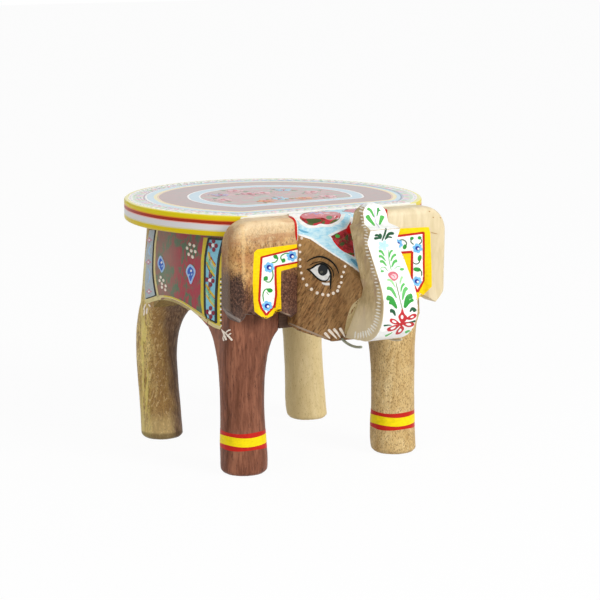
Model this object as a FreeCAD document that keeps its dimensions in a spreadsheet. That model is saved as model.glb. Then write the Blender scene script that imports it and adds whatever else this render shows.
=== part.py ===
"""Carved elephant stool: a D-shaped seat of three boards on a body of two core blocks, two side
rails and four leg posts, with a head, two ears, a raised trunk, two tusks and a tail.

The row frame is in millimetres. +Z is up, the elephant faces -Y, and +X is its left side. The
origin is on the floor, in the middle of the whole outline. Every y below is worked out from
seat_y, the seat circle's centre."""

import FreeCAD, Part
import Sketcher
import math
import os

SIZES = {
    # seat
    "seat_radius": 147.5,
    "seat_height": 250,
    "seat_thick": 20,
    "seat_edge_round": 2,
    "seat_board_width": 98,
    # body
    "front_distance": 111,
    "rear_distance": 103,
    "body_half_width": 107,
    "body_side_lean": 5,
    "body_rear_lean": 9,
    "post_width": 50,
    "rear_corner_radius": 27,
    "front_corner_radius": 10,
    "spring_height": 139,
    "belly_height": 153,
    "belly_centre_height": 147,
    "front_arch_height": 140,
    "seam_corner": 0.4,
    # legs
    "front_leg_radius": 22,
    "rear_leg_radius": 21,
    "front_foot_out": 3,
    "rear_foot_in": 3,
    "rear_leg_bow": 7,
    "foot_bevel": 3,
    "shaft_height": 94,
    "shaft_flat": 0.3,
    # head
    "head_half_width": 48,
    "head_top_drop": 0.5,
    "head_back_height": 143,
    "crown_length": 33,
    "brow_length": 48,
    "brow_height": 232,
    "bridge_length": 73,
    "bridge_height": 205,
    "nose_length": 85,
    "nose_height": 193,
    "cheek_start": 20,
    "temple_height": 232,
    "muzzle_height": 134,
    "muzzle_length": 56,
    "joint_top_reach": 86,
    "joint_top_height": 181,
    # trunk
    "trunk_reach": 124.5,
    "trunk_half_width": 19,
    "trunk_neck_half_width": 16.5,
    "trunk_tip_half_width": 13.5,
    "trunk_bulge_radius": 37.6,
    "trunk_bulge_height": 174,
    "trunk_neck_reach": 92,
    "trunk_neck_rise": 57,
    "trunk_lip_reach": 98,
    "trunk_lip_rise": 12,
    "trunk_tip_rise": 22,
    "trunk_tip_reach": 80,
    "trunk_tip_back_reach": 61,
    # ears
    "ear_half_span": 121,
    "ear_thick": 20,
    "ear_top_drop": 2,
    "ear_corner_radius": 25,
    "ear_corner_height": 166,
    "ear_tip_height": 153.5,
    "ear_valley_height": 161.5,
    "ear_edge_round": 7,
    "ear_flute_radius": 9,
    "ear_flute_depth": 3,
    "ear_flute_height": 56,
    # tusks
    "tusk_radius": 1.3,
    "tusk_spread": 22,
    "tusk_start": 48,
    "tusk_length": 44,
    "tusk_drop": 2.5,
    "tusk_root": 7,
    # tail
    "tail_half_width": 7,
    "tail_thick": 7,
    "tail_length": 90,
    "tail_top_drop": 12,
    "tail_tuft_half_width": 10,
    "tail_tuft_length": 26,
    # dowels
    "dowel_radius": 5,
    "dowel_length": 40,
    "small_dowel_radius": 3,
    "small_dowel_length": 24,
    "glue_gap": 0.1,
    "dowel_end_gap": 1,
    "overrun": 5,
}

doc = FreeCAD.newDocument("ElephantStool")
sheet = doc.addObject("Spreadsheet::Sheet", "Sizes")


class Size:
    """A length that carries its value and the same length as text for an expression."""

    def __init__(self, value, text):
        self.value = float(value)
        self.text = text

    def __add__(self, other):
        other = as_size(other)
        return Size(self.value + other.value, f"({self.text} + {other.text})")

    def __sub__(self, other):
        other = as_size(other)
        return Size(self.value - other.value, f"({self.text} - {other.text})")

    def __mul__(self, other):
        other = as_size(other)
        return Size(self.value * other.value, f"({self.text} * {other.text})")

    def __truediv__(self, other):
        other = as_size(other)
        return Size(self.value / other.value, f"({self.text} / {other.text})")

    def __neg__(self):
        return Size(-self.value, f"(-1 * {self.text})")

    __radd__ = __add__
    __rmul__ = __mul__


def as_size(number):
    """A Size stays as it is, and a plain number becomes one."""
    return number if isinstance(number, Size) else Size(number, repr(float(number)))


def fill_sheet():
    """Writes each driving size to a row of the sheet and returns them all as Size values."""
    for row, (alias, value) in enumerate(SIZES.items(), start=1):
        sheet.set(f"A{row}", alias)
        sheet.set(f"B{row}", str(value))
        sheet.setAlias(f"B{row}", alias)
    doc.recompute()
    return {alias: Size(value, f"Sizes.{alias}") for alias, value in SIZES.items()}


S = fill_sheet()
ZERO = as_size(0)


# shared places

seat_y = (S["front_distance"] + S["trunk_reach"] - S["seat_radius"]) / 2
front_y = seat_y - S["front_distance"]
rear_y = seat_y + S["rear_distance"]
seat_bottom = S["seat_height"] - S["seat_thick"]
core_half_width = S["body_half_width"] - S["post_width"]
rail_front_y = front_y + S["post_width"]
rail_rear_y = rear_y - S["post_width"]
body_top_half_width = S["body_half_width"] - S["body_side_lean"]
trunk_neck_height = S["trunk_bulge_height"] + S["trunk_neck_rise"]
trunk_lip_height = trunk_neck_height + S["trunk_lip_rise"]
trunk_tip_height = trunk_lip_height + S["trunk_tip_rise"]


def ahead(reach):
    """The y of a point that lies reach in front of the body's front face."""
    return front_y - reach


# general helpers

AXIS_TURNS = {
    "x": FreeCAD.Rotation(FreeCAD.Vector(0, 1, 0), 90),
    "y": FreeCAD.Rotation(FreeCAD.Vector(1, 0, 0), -90),
    "z": FreeCAD.Rotation(),
}
SKETCH_TURNS = {
    "yz": FreeCAD.Rotation(FreeCAD.Vector(1, 1, 1), 120),
    "xz": FreeCAD.Rotation(FreeCAD.Vector(1, 0, 0), 90),
    "xy": FreeCAD.Rotation(),
}


def bind(obj, **sizes):
    """Binds properties of obj to the sheet. A name such as Placement_Base_x means that path."""
    for name, size in sizes.items():
        obj.setExpression(name.replace("_", "."), as_size(size).text)


def move(obj, x, y, z, turn=None):
    """Places obj at a point given in sizes, turned first if a rotation is given."""
    x, y, z = as_size(x), as_size(y), as_size(z)
    place = FreeCAD.Vector(x.value, y.value, z.value)
    obj.Placement = FreeCAD.Placement(place, turn or FreeCAD.Rotation())
    bind(obj, Placement_Base_x=x, Placement_Base_y=y, Placement_Base_z=z)
    return obj


def box(name, low, high):
    """A box between two corners given in sizes."""
    obj = doc.addObject("Part::Box", name)
    span = [as_size(b) - as_size(a) for a, b in zip(low, high)]
    bind(obj, Length=span[0], Width=span[1], Height=span[2])
    return move(obj, *low)


def cylinder(name, axis, radius, length, centre):
    """A cylinder along x, y or z whose middle is at centre."""
    obj = doc.addObject("Part::Cylinder", name)
    bind(obj, Radius=radius, Height=length)
    start = [as_size(c) for c in centre]
    index = "xyz".index(axis)
    start[index] = start[index] - as_size(length) / 2
    return move(obj, *start, turn=AXIS_TURNS[axis])


def cut(name, base, tool):
    obj = doc.addObject("Part::Cut", name)
    obj.Base, obj.Tool = base, tool
    return obj


def common(name, base, tool):
    obj = doc.addObject("Part::Common", name)
    obj.Base, obj.Tool = base, tool
    return obj


def fuse(name, shapes):
    obj = doc.addObject("Part::MultiFuse", name)
    obj.Shapes = shapes
    obj.Refine = True
    return obj


def group(name, shapes):
    """Separate solids kept as one object."""
    obj = doc.addObject("Part::Compound", name)
    obj.Links = shapes
    return obj


def mirror(name, source):
    """A copy of source on the other side of the plane X = 0."""
    obj = doc.addObject("Part::Mirroring", name)
    obj.Source = source
    obj.Normal = FreeCAD.Vector(1, 0, 0)
    return obj


def outline(name, plane, start, steps, level=ZERO):
    """A closed sketch of lines and arcs. A step is an end point, or a middle and an end point
    of an arc. Every corner of the sketch is held at its place by distances from the sheet."""
    sketch = doc.addObject("Sketcher::SketchObject", name)
    here = start
    for step in list(steps) + [(start,)]:
        end = step[-1]
        a, b = (FreeCAD.Vector(p[0].value, p[1].value, 0) for p in (here, end))
        if (a - b).Length < 1e-9:
            continue
        if len(step) == 2:
            middle = FreeCAD.Vector(step[0][0].value, step[0][1].value, 0)
            index = sketch.addGeometry(Part.Arc(a, middle, b), False)
            starts_here = (sketch.getPoint(index, 1) - a).Length
            ends_here = (sketch.getPoint(index, 2) - a).Length
            first, last = (1, 2) if starts_here < ends_here else (2, 1)
        else:
            index = sketch.addGeometry(Part.LineSegment(a, b), False)
            first, last = 1, 2
        if index:
            join = Sketcher.Constraint("Coincident", index, first, index - 1, previous)
            sketch.addConstraint(join)
        for kind, size in (("DistanceX", end[0]), ("DistanceY", end[1])):
            held = sketch.addConstraint(
                Sketcher.Constraint(kind, -1, 1, index, last, size.value)
            )
            sketch.setExpression(f"Constraints[{held}]", size.text)
        here, previous = end, last
    sketch.addConstraint(Sketcher.Constraint("Coincident", 0, 1, index, previous))
    sketch.Placement = FreeCAD.Placement(FreeCAD.Vector(), SKETCH_TURNS[plane])
    along = {"yz": "x", "xz": "y", "xy": "z"}[plane]
    if level is not ZERO:
        setattr(sketch.Placement.Base, along, level.value)
        bind(sketch, **{f"Placement_Base_{along}": level})
    return sketch


def extrude(name, sketch, length, both_ways=False):
    """Extrudes a sketch along its normal, or half of the length each way."""
    obj = doc.addObject("Part::Extrusion", name)
    obj.Base = sketch
    obj.DirMode = "Normal"
    obj.Solid = True
    obj.Symmetric = both_ways
    bind(obj, LengthFwd=length)
    return obj


def loft(name, sections, ruled):
    obj = doc.addObject("Part::Loft", name)
    obj.Sections = sections
    obj.Solid = True
    obj.Ruled = ruled
    return obj


def round_edges(name, base, radius, wanted):
    """Fillets the edges of base that wanted picks. The radius is bound to the sheet by value."""
    doc.recompute()
    obj = doc.addObject("Part::Fillet", name)
    obj.Base = base
    picked = [n for n, e in enumerate(base.Shape.Edges, start=1) if wanted(e)]
    obj.Edges = [(n, radius.value, radius.value) for n in picked]
    return obj


def finished(label, obj):
    """Marks obj as one of the pieces that are written out, under its label."""
    obj.Label = label
    PIECES.append(obj)
    return obj


PIECES = []


# dowels

DOWEL_GROUPS = {}


def both_sides(obj):
    """The object of the left side and its mirrored copy."""
    return [obj, mirror(obj.Name + "_right", obj)]


def dowel(group_name, name, axis, centre, small=False, paired=True):
    """Adds a dowel to its group, on both sides if paired. Returns the hole for its pieces."""
    radius = S["small_dowel_radius"] if small else S["dowel_radius"]
    length = S["small_dowel_length"] if small else S["dowel_length"]
    pin = cylinder(name, axis, radius, length, centre)
    DOWEL_GROUPS.setdefault(group_name, []).extend(both_sides(pin) if paired else [pin])
    hole_length = length + S["dowel_end_gap"] * 2
    return cylinder(name + "_hole", axis, radius + S["glue_gap"], hole_length, centre)


def drilled(label, blank, holes):
    """The blank with its dowel holes, as a finished piece."""
    return finished(label, cut(label, blank, group(label + "_holes", holes)))


def drilled_pair(label, blank, holes):
    """A drilled piece of the left side and its mirrored copy on the right side."""
    right_label = label.replace("_left", "_right")
    left = drilled(label, blank, holes)
    finished(right_label, mirror(right_label, left))


# seat

def make_seat(middle_holes, left_holes):
    """Three boards, glued edge to edge with dowels, cut to a circle with a straight front."""
    level = seat_bottom + S["seat_thick"] / 2
    disc = cylinder("seat_disc", "z", S["seat_radius"], S["seat_thick"],
                    (ZERO, seat_y, level))
    disc = round_edges("seat_round", disc, S["seat_edge_round"],
                       lambda edge: isinstance(edge.Curve, Part.Circle))
    reach = S["seat_radius"] + S["overrun"]
    below, above = seat_bottom - S["overrun"], S["seat_height"] + S["overrun"]
    front = box("seat_front_cutter", (-reach, seat_y - reach, below), (reach, front_y, above))
    plate = cut("seat_plate", disc, front)
    half_board = S["seat_board_width"] / 2
    dowel_place_shares = {"front": -0.45, "rear": 0.5}
    edge_holes = [
        dowel("seat_edge_dowels", f"seat_edge_dowel_{row}", "x",
              (half_board, seat_y + S["seat_radius"] * share, level), small=True)
        for row, share in dowel_place_shares.items()
    ]
    middle_span = box("seat_middle_span", (-half_board, seat_y - reach, below),
                      (half_board, seat_y + reach, above))
    left_span = box("seat_left_span", (half_board, seat_y - reach, below),
                    (reach, seat_y + reach, above))
    holes = [copy for hole in edge_holes + middle_holes for copy in both_sides(hole)]
    drilled("seat_board_middle", common("seat_middle_blank", plate, middle_span), holes)
    drilled_pair("seat_board_left", common("seat_left_blank", plate, left_span),
                 edge_holes + left_holes)


# leg posts

def corner_section(name, level, x_in, x_out, y_in, y_out, radii):
    """A rounded four-sided section at a height. x_in and y_in face the body's middle. radii
    are those of the corner outside, of the one that shares x_out, of the one that shares
    y_out and of the one inside. Its corners always run the same way round."""
    outside, at_x_out, at_y_out, inside = radii
    sx = 1 if x_out.value > x_in.value else -1
    sy = 1 if y_out.value > y_in.value else -1
    bulge = 1 - math.sqrt(0.5)

    def corner(x, y, ax, ay, radius):
        """The end on the x side, the arc's middle, and the end on the y side."""
        return [
            (x, y - radius * ay),
            (x - radius * (bulge * ax), y - radius * (bulge * ay)),
            (x - radius * ax, y),
        ]

    corners = [
        corner(x_out, y_out, sx, sy, outside),
        corner(x_in, y_out, -sx, sy, at_y_out)[::-1],
        corner(x_in, y_in, -sx, -sy, inside),
        corner(x_out, y_in, sx, -sy, at_x_out)[::-1],
    ]
    if sx * sy < 0:
        corners = [points[::-1] for points in [corners[0]] + corners[:0:-1]]
    steps = []
    for points in corners:
        steps += [(points[0],), (points[1], points[2])]
    return outline(name, "xy", corners[0][0], steps[1:], level)


def make_leg(end, holes):
    """A post of the left side. It is round below and square above, between core and rail."""
    label = f"leg_{end}_left"
    is_front = end == "front"
    radius = S["front_leg_radius"] if is_front else S["rear_leg_radius"]
    x_out, x_in = S["body_half_width"], core_half_width
    y_out, y_in = (front_y, rail_front_y) if is_front else (rear_y, rail_rear_y)
    outward = -1 if is_front else 1
    centre_x = x_out - radius
    centre_y = y_out - radius * outward
    spare = S["post_width"] - radius * 2
    tiny = S["seam_corner"]
    foot_out = S["front_foot_out"] if is_front else -S["rear_foot_in"]
    bow = ZERO if is_front else S["rear_leg_bow"]

    def shaft(tag, level, size, foot_share, bow_share):
        """A round section, moved outward by shares of the foot's shift and of the bow."""
        y = centre_y + (foot_out * foot_share + bow * bow_share) * outward
        return corner_section(
            f"{label}_{tag}", level, centre_x - size, centre_x + size,
            y - size * outward, y + size * outward, (size - S["shaft_flat"],) * 4)

    def flared(tag, rise_share, grown_share, corner_share, bow_share):
        """A section between the round shaft and the square post."""
        level = S["shaft_height"] + (S["spring_height"] - S["shaft_height"]) * rise_share
        push = bow * (bow_share * outward)
        corner = radius * corner_share
        first = radius * (1 - grown_share) + outside * grown_share
        return corner_section(
            f"{label}_{tag}", level, centre_x - radius - spare * grown_share, x_out,
            centre_y - (radius + spare * grown_share) * outward + push, y_out + push,
            (first, corner, corner, corner))

    outside = S["front_corner_radius"] if is_front else S["rear_corner_radius"]
    foot_radius = radius - S["foot_bevel"]
    shin_height_share, shin_girth_share, shin_foot_share, shin_bow_share = 0.45, 0.98, 0.45, 0.55
    thigh_shares = (0.5, 0.15, 0.7, 0.75)
    hip_shares = (0.82, 0.5, 0.35, 0.3)
    sole = shaft("sole", ZERO, foot_radius, 1, 0)
    ankle, ankle_again = [
        shaft(tag, S["foot_bevel"], radius, 1, 0) for tag in ("ankle", "ankle_again")
    ]
    shin = shaft("shin", S["shaft_height"] * shin_height_share, radius * shin_girth_share,
                 shin_foot_share, shin_bow_share)
    knee = shaft("knee", S["shaft_height"], radius, 0, 1)
    thigh = flared("thigh", *thigh_shares)
    hip = flared("hip", *hip_shares)
    square = (outside, tiny, tiny, tiny)
    spring, spring_again = [
        corner_section(f"{label}_{tag}", S["spring_height"], x_in, x_out, y_in, y_out, square)
        for tag in ("spring", "spring_again")
    ]
    top_y = y_out if is_front else rear_y - S["body_rear_lean"]
    top = corner_section(f"{label}_top", seat_bottom, x_in, body_top_half_width, y_in, top_y,
                         square)
    parts = [
        loft(label + "_foot", [sole, ankle], True),
        loft(label + "_shaft", [ankle_again, shin, knee, thigh, hip, spring], False),
        loft(label + "_post", [spring_again, top], True),
    ]
    drilled_pair(label, fuse(label + "_blank", parts), holes)


# body

def make_core(holes):
    """The left half of the core: a block with an arched belly and a leaning rear face."""
    label = "body_core_left"
    profile = outline(
        label + "_profile", "yz", (front_y, seat_bottom),
        [
            ((front_y, S["front_arch_height"]),),
            (((front_y + rear_y) / 2, S["belly_centre_height"]),
             (rear_y, S["front_arch_height"])),
            ((rear_y - S["body_rear_lean"], seat_bottom),),
        ],
    )
    drilled_pair(label, extrude(label + "_blank", profile, core_half_width), holes)


def make_rail(holes):
    """The left side rail between two posts, with the belly's arch below and a leaning face."""
    label = "side_rail_left"
    rise = S["belly_height"] - S["spring_height"]
    crown_share, haunch_rise_share = 0.66, 0.75
    front_haunch_share, rear_haunch_share = 0.48, 0.6
    crown_y = rail_front_y + (rail_rear_y - rail_front_y) * crown_share
    haunch_height = S["spring_height"] + rise * haunch_rise_share
    profile = outline(
        label + "_profile", "yz", (rail_front_y, seat_bottom),
        [
            ((rail_front_y, S["spring_height"]),),
            ((rail_front_y + (crown_y - rail_front_y) * front_haunch_share, haunch_height),
             (crown_y, S["belly_height"])),
            ((crown_y + (rail_rear_y - crown_y) * rear_haunch_share, haunch_height),
             (rail_rear_y, S["spring_height"])),
            ((rail_rear_y, seat_bottom),),
        ],
        core_half_width,
    )
    slab = extrude(label + "_slab", profile, S["post_width"])
    lean = outline(
        label + "_lean", "xz", (core_half_width, ZERO),
        [
            ((S["body_half_width"], ZERO),),
            ((S["body_half_width"], S["spring_height"]),),
            ((body_top_half_width, seat_bottom),),
            ((core_half_width, seat_bottom),),
        ],
        rail_rear_y,
    )
    wedge = extrude(label + "_wedge", lean, rail_rear_y - rail_front_y)
    drilled_pair(label, common(label + "_blank", slab, wedge), holes)


# head

def make_head(holes):
    """The head block: its side view cut by its plan, with a slanted face on each temple."""
    top = S["seat_height"] - S["head_top_drop"]
    crown, brow = S["crown_length"], S["brow_length"]
    drop = top - S["brow_height"]
    brow_reach_share, brow_drop_share = 0.6, 0.35
    side = outline(
        "head_side", "yz", (front_y, S["head_back_height"]),
        [
            ((front_y, top),),
            ((ahead(crown), top),),
            ((ahead(crown + (brow - crown) * brow_reach_share), top - drop * brow_drop_share),
             (ahead(brow), S["brow_height"])),
            ((ahead(S["bridge_length"]), S["bridge_height"]),),
            ((ahead(S["nose_length"]), S["nose_height"]),),
            ((ahead(S["joint_top_reach"]), S["joint_top_height"]),),
            ((ahead(S["muzzle_length"]), S["muzzle_height"]),),
        ],
    )
    width, nose = S["head_half_width"], S["trunk_half_width"]
    front = S["trunk_reach"]
    plan = outline(
        "head_plan", "xy", (width, front_y),
        [
            ((width, ahead(S["cheek_start"])),),
            ((nose, ahead(S["nose_length"])),),
            ((nose, ahead(front)),),
            ((-nose, ahead(front)),),
            ((-nose, ahead(S["nose_length"])),),
            ((-width, ahead(S["cheek_start"])),),
            ((-width, front_y),),
        ],
    )
    across = extrude("head_across", side, width * 2, both_ways=True)
    upward = extrude("head_upward", plan, S["seat_height"])
    wedge = common("head_wedge", across, upward)
    slanted = FreeCAD.Rotation(FreeCAD.Vector(0, 0, 1), FreeCAD.Vector(1, -1, 1))
    temple = doc.addObject("Part::Cylinder", "temple_cutter")
    bind(temple, Radius=front, Height=front)
    move(temple, width, ahead(S["cheek_start"]), S["temple_height"], slanted)
    eased = cut("head_eased", wedge, group("temple_cutters", both_sides(temple)))
    drilled("head", eased, holes)


# trunk

def make_trunk(holes):
    """The raised trunk: its side view and its front view cut out of each other."""
    radius = S["trunk_bulge_radius"]
    centre_reach = S["trunk_reach"] - radius

    def on_bulge(degrees):
        turn = math.radians(degrees)
        return (ahead(centre_reach + radius * math.cos(turn)),
                S["trunk_bulge_height"] + radius * math.sin(turn))

    brow_degrees, chin_degrees = 36, -90
    throat_shares, nape_shares, curl_shares = (0.12, 0.35), (0.62, 0.65), (0.2, 0.55)
    crown_share, edge_share, lobe_shares, shoulder_share = 0.35, 0.08, (0.12, 0.15), 0.6
    tip_reach, back_reach = S["trunk_tip_reach"], S["trunk_tip_back_reach"]
    tip_thick = tip_reach - back_reach
    tip_rise = S["trunk_tip_rise"]
    lobe_height = trunk_lip_height + tip_rise * lobe_shares[1]
    side = outline(
        "trunk_side", "yz", (ahead(S["muzzle_length"]), S["muzzle_height"]),
        [
            ((ahead(S["joint_top_reach"]), S["joint_top_height"]),),
            ((ahead(S["joint_top_reach"] + tip_thick * throat_shares[0]),
              S["joint_top_height"] + tip_rise * throat_shares[1]),),
            ((ahead(back_reach + tip_thick * nape_shares[0]),
              trunk_neck_height - tip_rise * nape_shares[1]),
             (ahead(back_reach), trunk_lip_height)),
            ((ahead(back_reach + tip_thick * curl_shares[0]),
              trunk_lip_height + tip_rise * curl_shares[1]),
             (ahead(tip_reach - tip_thick * crown_share), trunk_tip_height)),
            ((ahead(tip_reach), trunk_tip_height - tip_rise * edge_share),),
            ((ahead(tip_reach + tip_thick * lobe_shares[0]), lobe_height),),
            ((ahead(S["trunk_lip_reach"]), trunk_lip_height),),
            ((ahead(S["trunk_neck_reach"]), trunk_neck_height),),
            (on_bulge(brow_degrees),),
            (on_bulge(0), on_bulge(chin_degrees)),
        ],
    )
    wide, neck = S["trunk_half_width"], S["trunk_neck_half_width"]
    tip = S["trunk_tip_half_width"]
    shoulder = trunk_tip_height - tip * shoulder_share
    right = [
        (wide, S["trunk_bulge_height"]),
        (neck, trunk_neck_height),
        (neck, trunk_lip_height),
        (tip, lobe_height),
        (tip, shoulder),
    ]
    steps = [(point,) for point in right]
    steps.append(((ZERO, trunk_tip_height), (-tip, shoulder)))
    steps += [((-x, z),) for x, z in reversed(right[:-1])]
    steps.append(((-wide, ZERO),))
    front = outline("trunk_front", "xz", (wide, ZERO), steps, front_y)
    across = extrude("trunk_across", side, wide * 2, both_ways=True)
    along = extrude("trunk_along", front, S["trunk_reach"] + S["overrun"])
    drilled("trunk", common("trunk_blank", across, along), holes)


# ears

def make_ear(holes):
    """The left ear: flat, with three pointed lobes below and flutes between the lobes."""
    label = "ear_left"
    inner, outer = S["head_half_width"], S["ear_half_span"]
    span = outer - inner
    top = S["seat_height"] - S["ear_top_drop"]
    corner = S["ear_corner_radius"]
    bulge = corner * (1 - math.sqrt(0.5))
    low, high = S["ear_tip_height"], S["ear_valley_height"]
    tip_shares, valley_shares, flute_taper_share = (0.09, 0.46, 0.82), (0.26, 0.64), 1.4
    tips = [inner + span * share for share in tip_shares]
    valleys = [inner + span * share for share in valley_shares]
    shape = outline(
        label + "_outline", "xz", (inner, top),
        [
            ((inner, (low + high) / 2),),
            ((tips[0], low),),
            ((valleys[0], high),),
            ((tips[1], low),),
            ((valleys[1], high),),
            ((tips[2], low),),
            ((outer, S["ear_corner_height"]),),
            ((outer, top - corner),),
            ((outer - bulge, top - bulge), (outer - corner, top)),
        ],
        front_y,
    )
    slab = extrude(label + "_slab", shape, S["ear_thick"])
    face_y = ahead(S["ear_thick"]).value
    near = S["glue_gap"].value / 10

    def outer_front(edge):
        """The front edges along the top, the round corner and the outer side."""
        bounds = edge.BoundBox
        on_face = max(abs(bounds.YMin - face_y), abs(bounds.YMax - face_y)) < near
        upper = bounds.ZMin > S["ear_corner_height"].value - near
        return on_face and upper and bounds.XMax > inner.value + near

    eased = round_edges(label + "_eased", slab, S["ear_edge_round"], outer_front)
    flutes = []
    for number, x in enumerate(valleys):
        flute = doc.addObject("Part::Cone", f"{label}_flute_{number}")
        bind(flute, Radius1=S["ear_flute_radius"],
             Radius2=S["ear_flute_radius"] - S["ear_flute_depth"] * flute_taper_share,
             Height=S["ear_flute_height"])
        reach = S["ear_thick"] + S["ear_flute_radius"] - S["ear_flute_depth"]
        flutes.append(move(flute, x, ahead(reach), low))
    drilled_pair(label, cut(label + "_fluted", eased, group(label + "_flutes", flutes)), holes)


# tusks and tail

def make_tusk():
    """The left tusk, which sweeps forward from the muzzle's underside. Returns its hole."""
    x = S["tusk_spread"]
    bend_reach_share, bend_drop_share = 0.41, 0.57
    half = S["tusk_length"] * bend_reach_share
    points = [
        (ahead(S["tusk_start"]), S["muzzle_height"] + S["tusk_root"]),
        (ahead(S["tusk_start"] + half), S["muzzle_height"] - S["tusk_drop"] * bend_drop_share),
        (ahead(S["tusk_start"] + S["tusk_length"]), S["muzzle_height"] - S["tusk_drop"]),
    ]
    arc = Part.Arc(*[FreeCAD.Vector(x.value, y.value, z.value) for y, z in points])
    spine = doc.addObject("Part::Feature", "tusk_spine")
    spine.Shape = Part.Wire(arc.toShape())
    turn = FreeCAD.Rotation(FreeCAD.Vector(0, 0, 1), arc.tangent(arc.FirstParameter)[0])

    def swept(name, radius):
        circle = doc.addObject("Part::Circle", name + "_section")
        bind(circle, Radius=radius)
        move(circle, x, points[0][0], points[0][1], turn)
        rod = doc.addObject("Part::Sweep", name)
        rod.Sections = [circle]
        rod.Spine = spine
        rod.Solid = True
        return rod

    left, right = both_sides(swept("tusk", S["tusk_radius"]))
    finished("tusk_left", left)
    finished("tusk_right", right)
    return swept("tusk_hole", S["tusk_radius"] + S["glue_gap"])


def make_tail(holes):
    """A carved strip with a tuft, glued to the rear face of the core."""
    top = seat_bottom - S["tail_top_drop"]
    half, tuft = S["tail_half_width"], S["tail_tuft_half_width"]
    end = top - S["tail_length"]
    wrist = end + S["tail_tuft_length"]
    tuft_middle_share, wrist_width_share = 0.45, 0.6
    mid = end + S["tail_tuft_length"] * tuft_middle_share
    right = [(half, top), (half * wrist_width_share, wrist), (tuft, mid)]
    steps = [(p,) for p in right[1:]]
    steps.append(((ZERO, end),))
    steps += [((-x, z),) for x, z in reversed(right)]
    shape = outline("tail_front", "xz", right[0], steps, rear_y + S["tail_thick"])
    slab = extrude("tail_slab", shape, S["tail_thick"] + S["body_rear_lean"])
    lean = S["body_rear_lean"]
    thick = S["tail_thick"]
    rise_from = S["spring_height"] + S["overrun"]
    side = outline(
        "tail_side", "yz", (rear_y, ZERO),
        [((rear_y, rise_from),), ((rear_y - lean, seat_bottom),),
         ((rear_y - lean + thick, seat_bottom),), ((rear_y + thick, rise_from),),
         ((rear_y + thick, ZERO),)],
    )
    strip = extrude("tail_strip", side, tuft * 2, both_ways=True)
    drilled("tail", common("tail_blank", slab, strip), holes)


# assembly

def body_dowels(holes):
    """Dowels between the core blocks, the rails and the posts."""
    middle = (front_y + rear_y) / 2
    length = rear_y - front_y
    level = (S["belly_height"] + seat_bottom) / 2
    core_place_shares, rail_place_shares = (-0.25, 0, 0.25), (-0.12, 0.12)
    step = S["dowel_length"] / 2
    for number, share in enumerate(core_place_shares):
        holes["core"].append(dowel("core_dowels", f"core_dowel_{number}", "x",
                                   (ZERO, middle + length * share, level), paired=False))
    for number, share in enumerate(rail_place_shares):
        hole = dowel("rail_dowels", f"rail_dowel_{number}", "x",
                     (core_half_width, middle + length * share, level))
        holes["core"].append(hole)
        holes["rail"].append(hole)
    post_x = S["body_half_width"] - S["post_width"] / 2
    for end, seam_y, post_y in (
        ("front", rail_front_y, front_y + S["post_width"] / 2),
        ("rear", rail_rear_y, rear_y - S["post_width"] / 2),
    ):
        hole = dowel("leg_dowels", f"{end}_core_dowel", "x",
                     (core_half_width, post_y, level + step))
        holes["core"].append(hole)
        holes[end].append(hole)
        hole = dowel("leg_dowels", f"{end}_rail_dowel", "y", (post_x, seam_y, level - step))
        holes["rail"].append(hole)
        holes[end].append(hole)


def head_dowels(holes):
    """Dowels of the head, the ears, the trunk and the tail."""
    low = S["head_back_height"] + S["dowel_length"] / 2
    spread_share, tail_pin_share = 0.45, 0.3
    ear_place_shares = {"low": (0.42, 0.3), "high": (0.26, 0.75)}
    hole = dowel("head_dowels", "head_dowel", "y",
                 (core_half_width * spread_share, front_y, low))
    holes["core"].append(hole)
    holes["head"] += both_sides(hole)
    ear_span = S["ear_half_span"] - S["head_half_width"]
    ear_rise = seat_bottom - S["ear_valley_height"]
    for tag, (out_share, up_share) in ear_place_shares.items():
        hole = dowel("ear_dowels", f"ear_dowel_{tag}", "y",
                     (S["head_half_width"] + ear_span * out_share, front_y,
                      S["ear_valley_height"] + ear_rise * up_share), small=True)
        holes["ear"].append(hole)
        holes["front"].append(hole)
    joint = (ZERO, ahead((S["muzzle_length"] + S["joint_top_reach"]) / 2),
             (S["muzzle_height"] + S["joint_top_height"]) / 2)
    hole = dowel("trunk_dowel", "trunk_pin", "y", joint, paired=False)
    holes["head"].append(hole)
    holes["trunk"].append(hole)
    tail_z = seat_bottom - S["tail_top_drop"] - S["tail_length"] * tail_pin_share
    hole = dowel("tail_dowel", "tail_pin", "y",
                 (ZERO, rear_y - S["small_dowel_length"] / 2, tail_z), small=True,
                 paired=False)
    holes["tail"].append(hole)
    holes["core"].append(hole)


def seat_dowels(holes):
    """Dowels from the core blocks and the rails up into the seat."""
    middle = (rail_front_y + rail_rear_y) / 2
    half = (rail_rear_y - rail_front_y) / 2
    rail_x = core_half_width + S["post_width"] / 2
    row_shares = {"front": -0.6, "rear": 0.6}
    for row, share in row_shares.items():
        for body, board, x in (("core", "middle_board", core_half_width / 2),
                               ("rail", "left_board", rail_x)):
            hole = dowel("seat_dowels", f"seat_dowel_{body}_{row}", "z",
                         (x, middle + half * share, seat_bottom), small=True)
            holes[body].append(hole)
            holes[board].append(hole)


def main():
    holes = {name: [] for name in ("core", "rail", "front", "rear", "head", "ear", "trunk",
                                   "tail", "middle_board", "left_board")}
    body_dowels(holes)
    head_dowels(holes)
    seat_dowels(holes)
    holes["head"] += both_sides(make_tusk())
    make_seat(holes["middle_board"], holes["left_board"])
    make_core(holes["core"])
    make_rail(holes["rail"])
    make_leg("front", holes["front"])
    make_leg("rear", holes["rear"])
    make_head(holes["head"])
    make_ear(holes["ear"])
    make_trunk(holes["trunk"])
    make_tail(holes["tail"])
    for label, pins in DOWEL_GROUPS.items():
        finished(label, group(label, pins))
    doc.recompute()
    check_document()
    write_parts()


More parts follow.
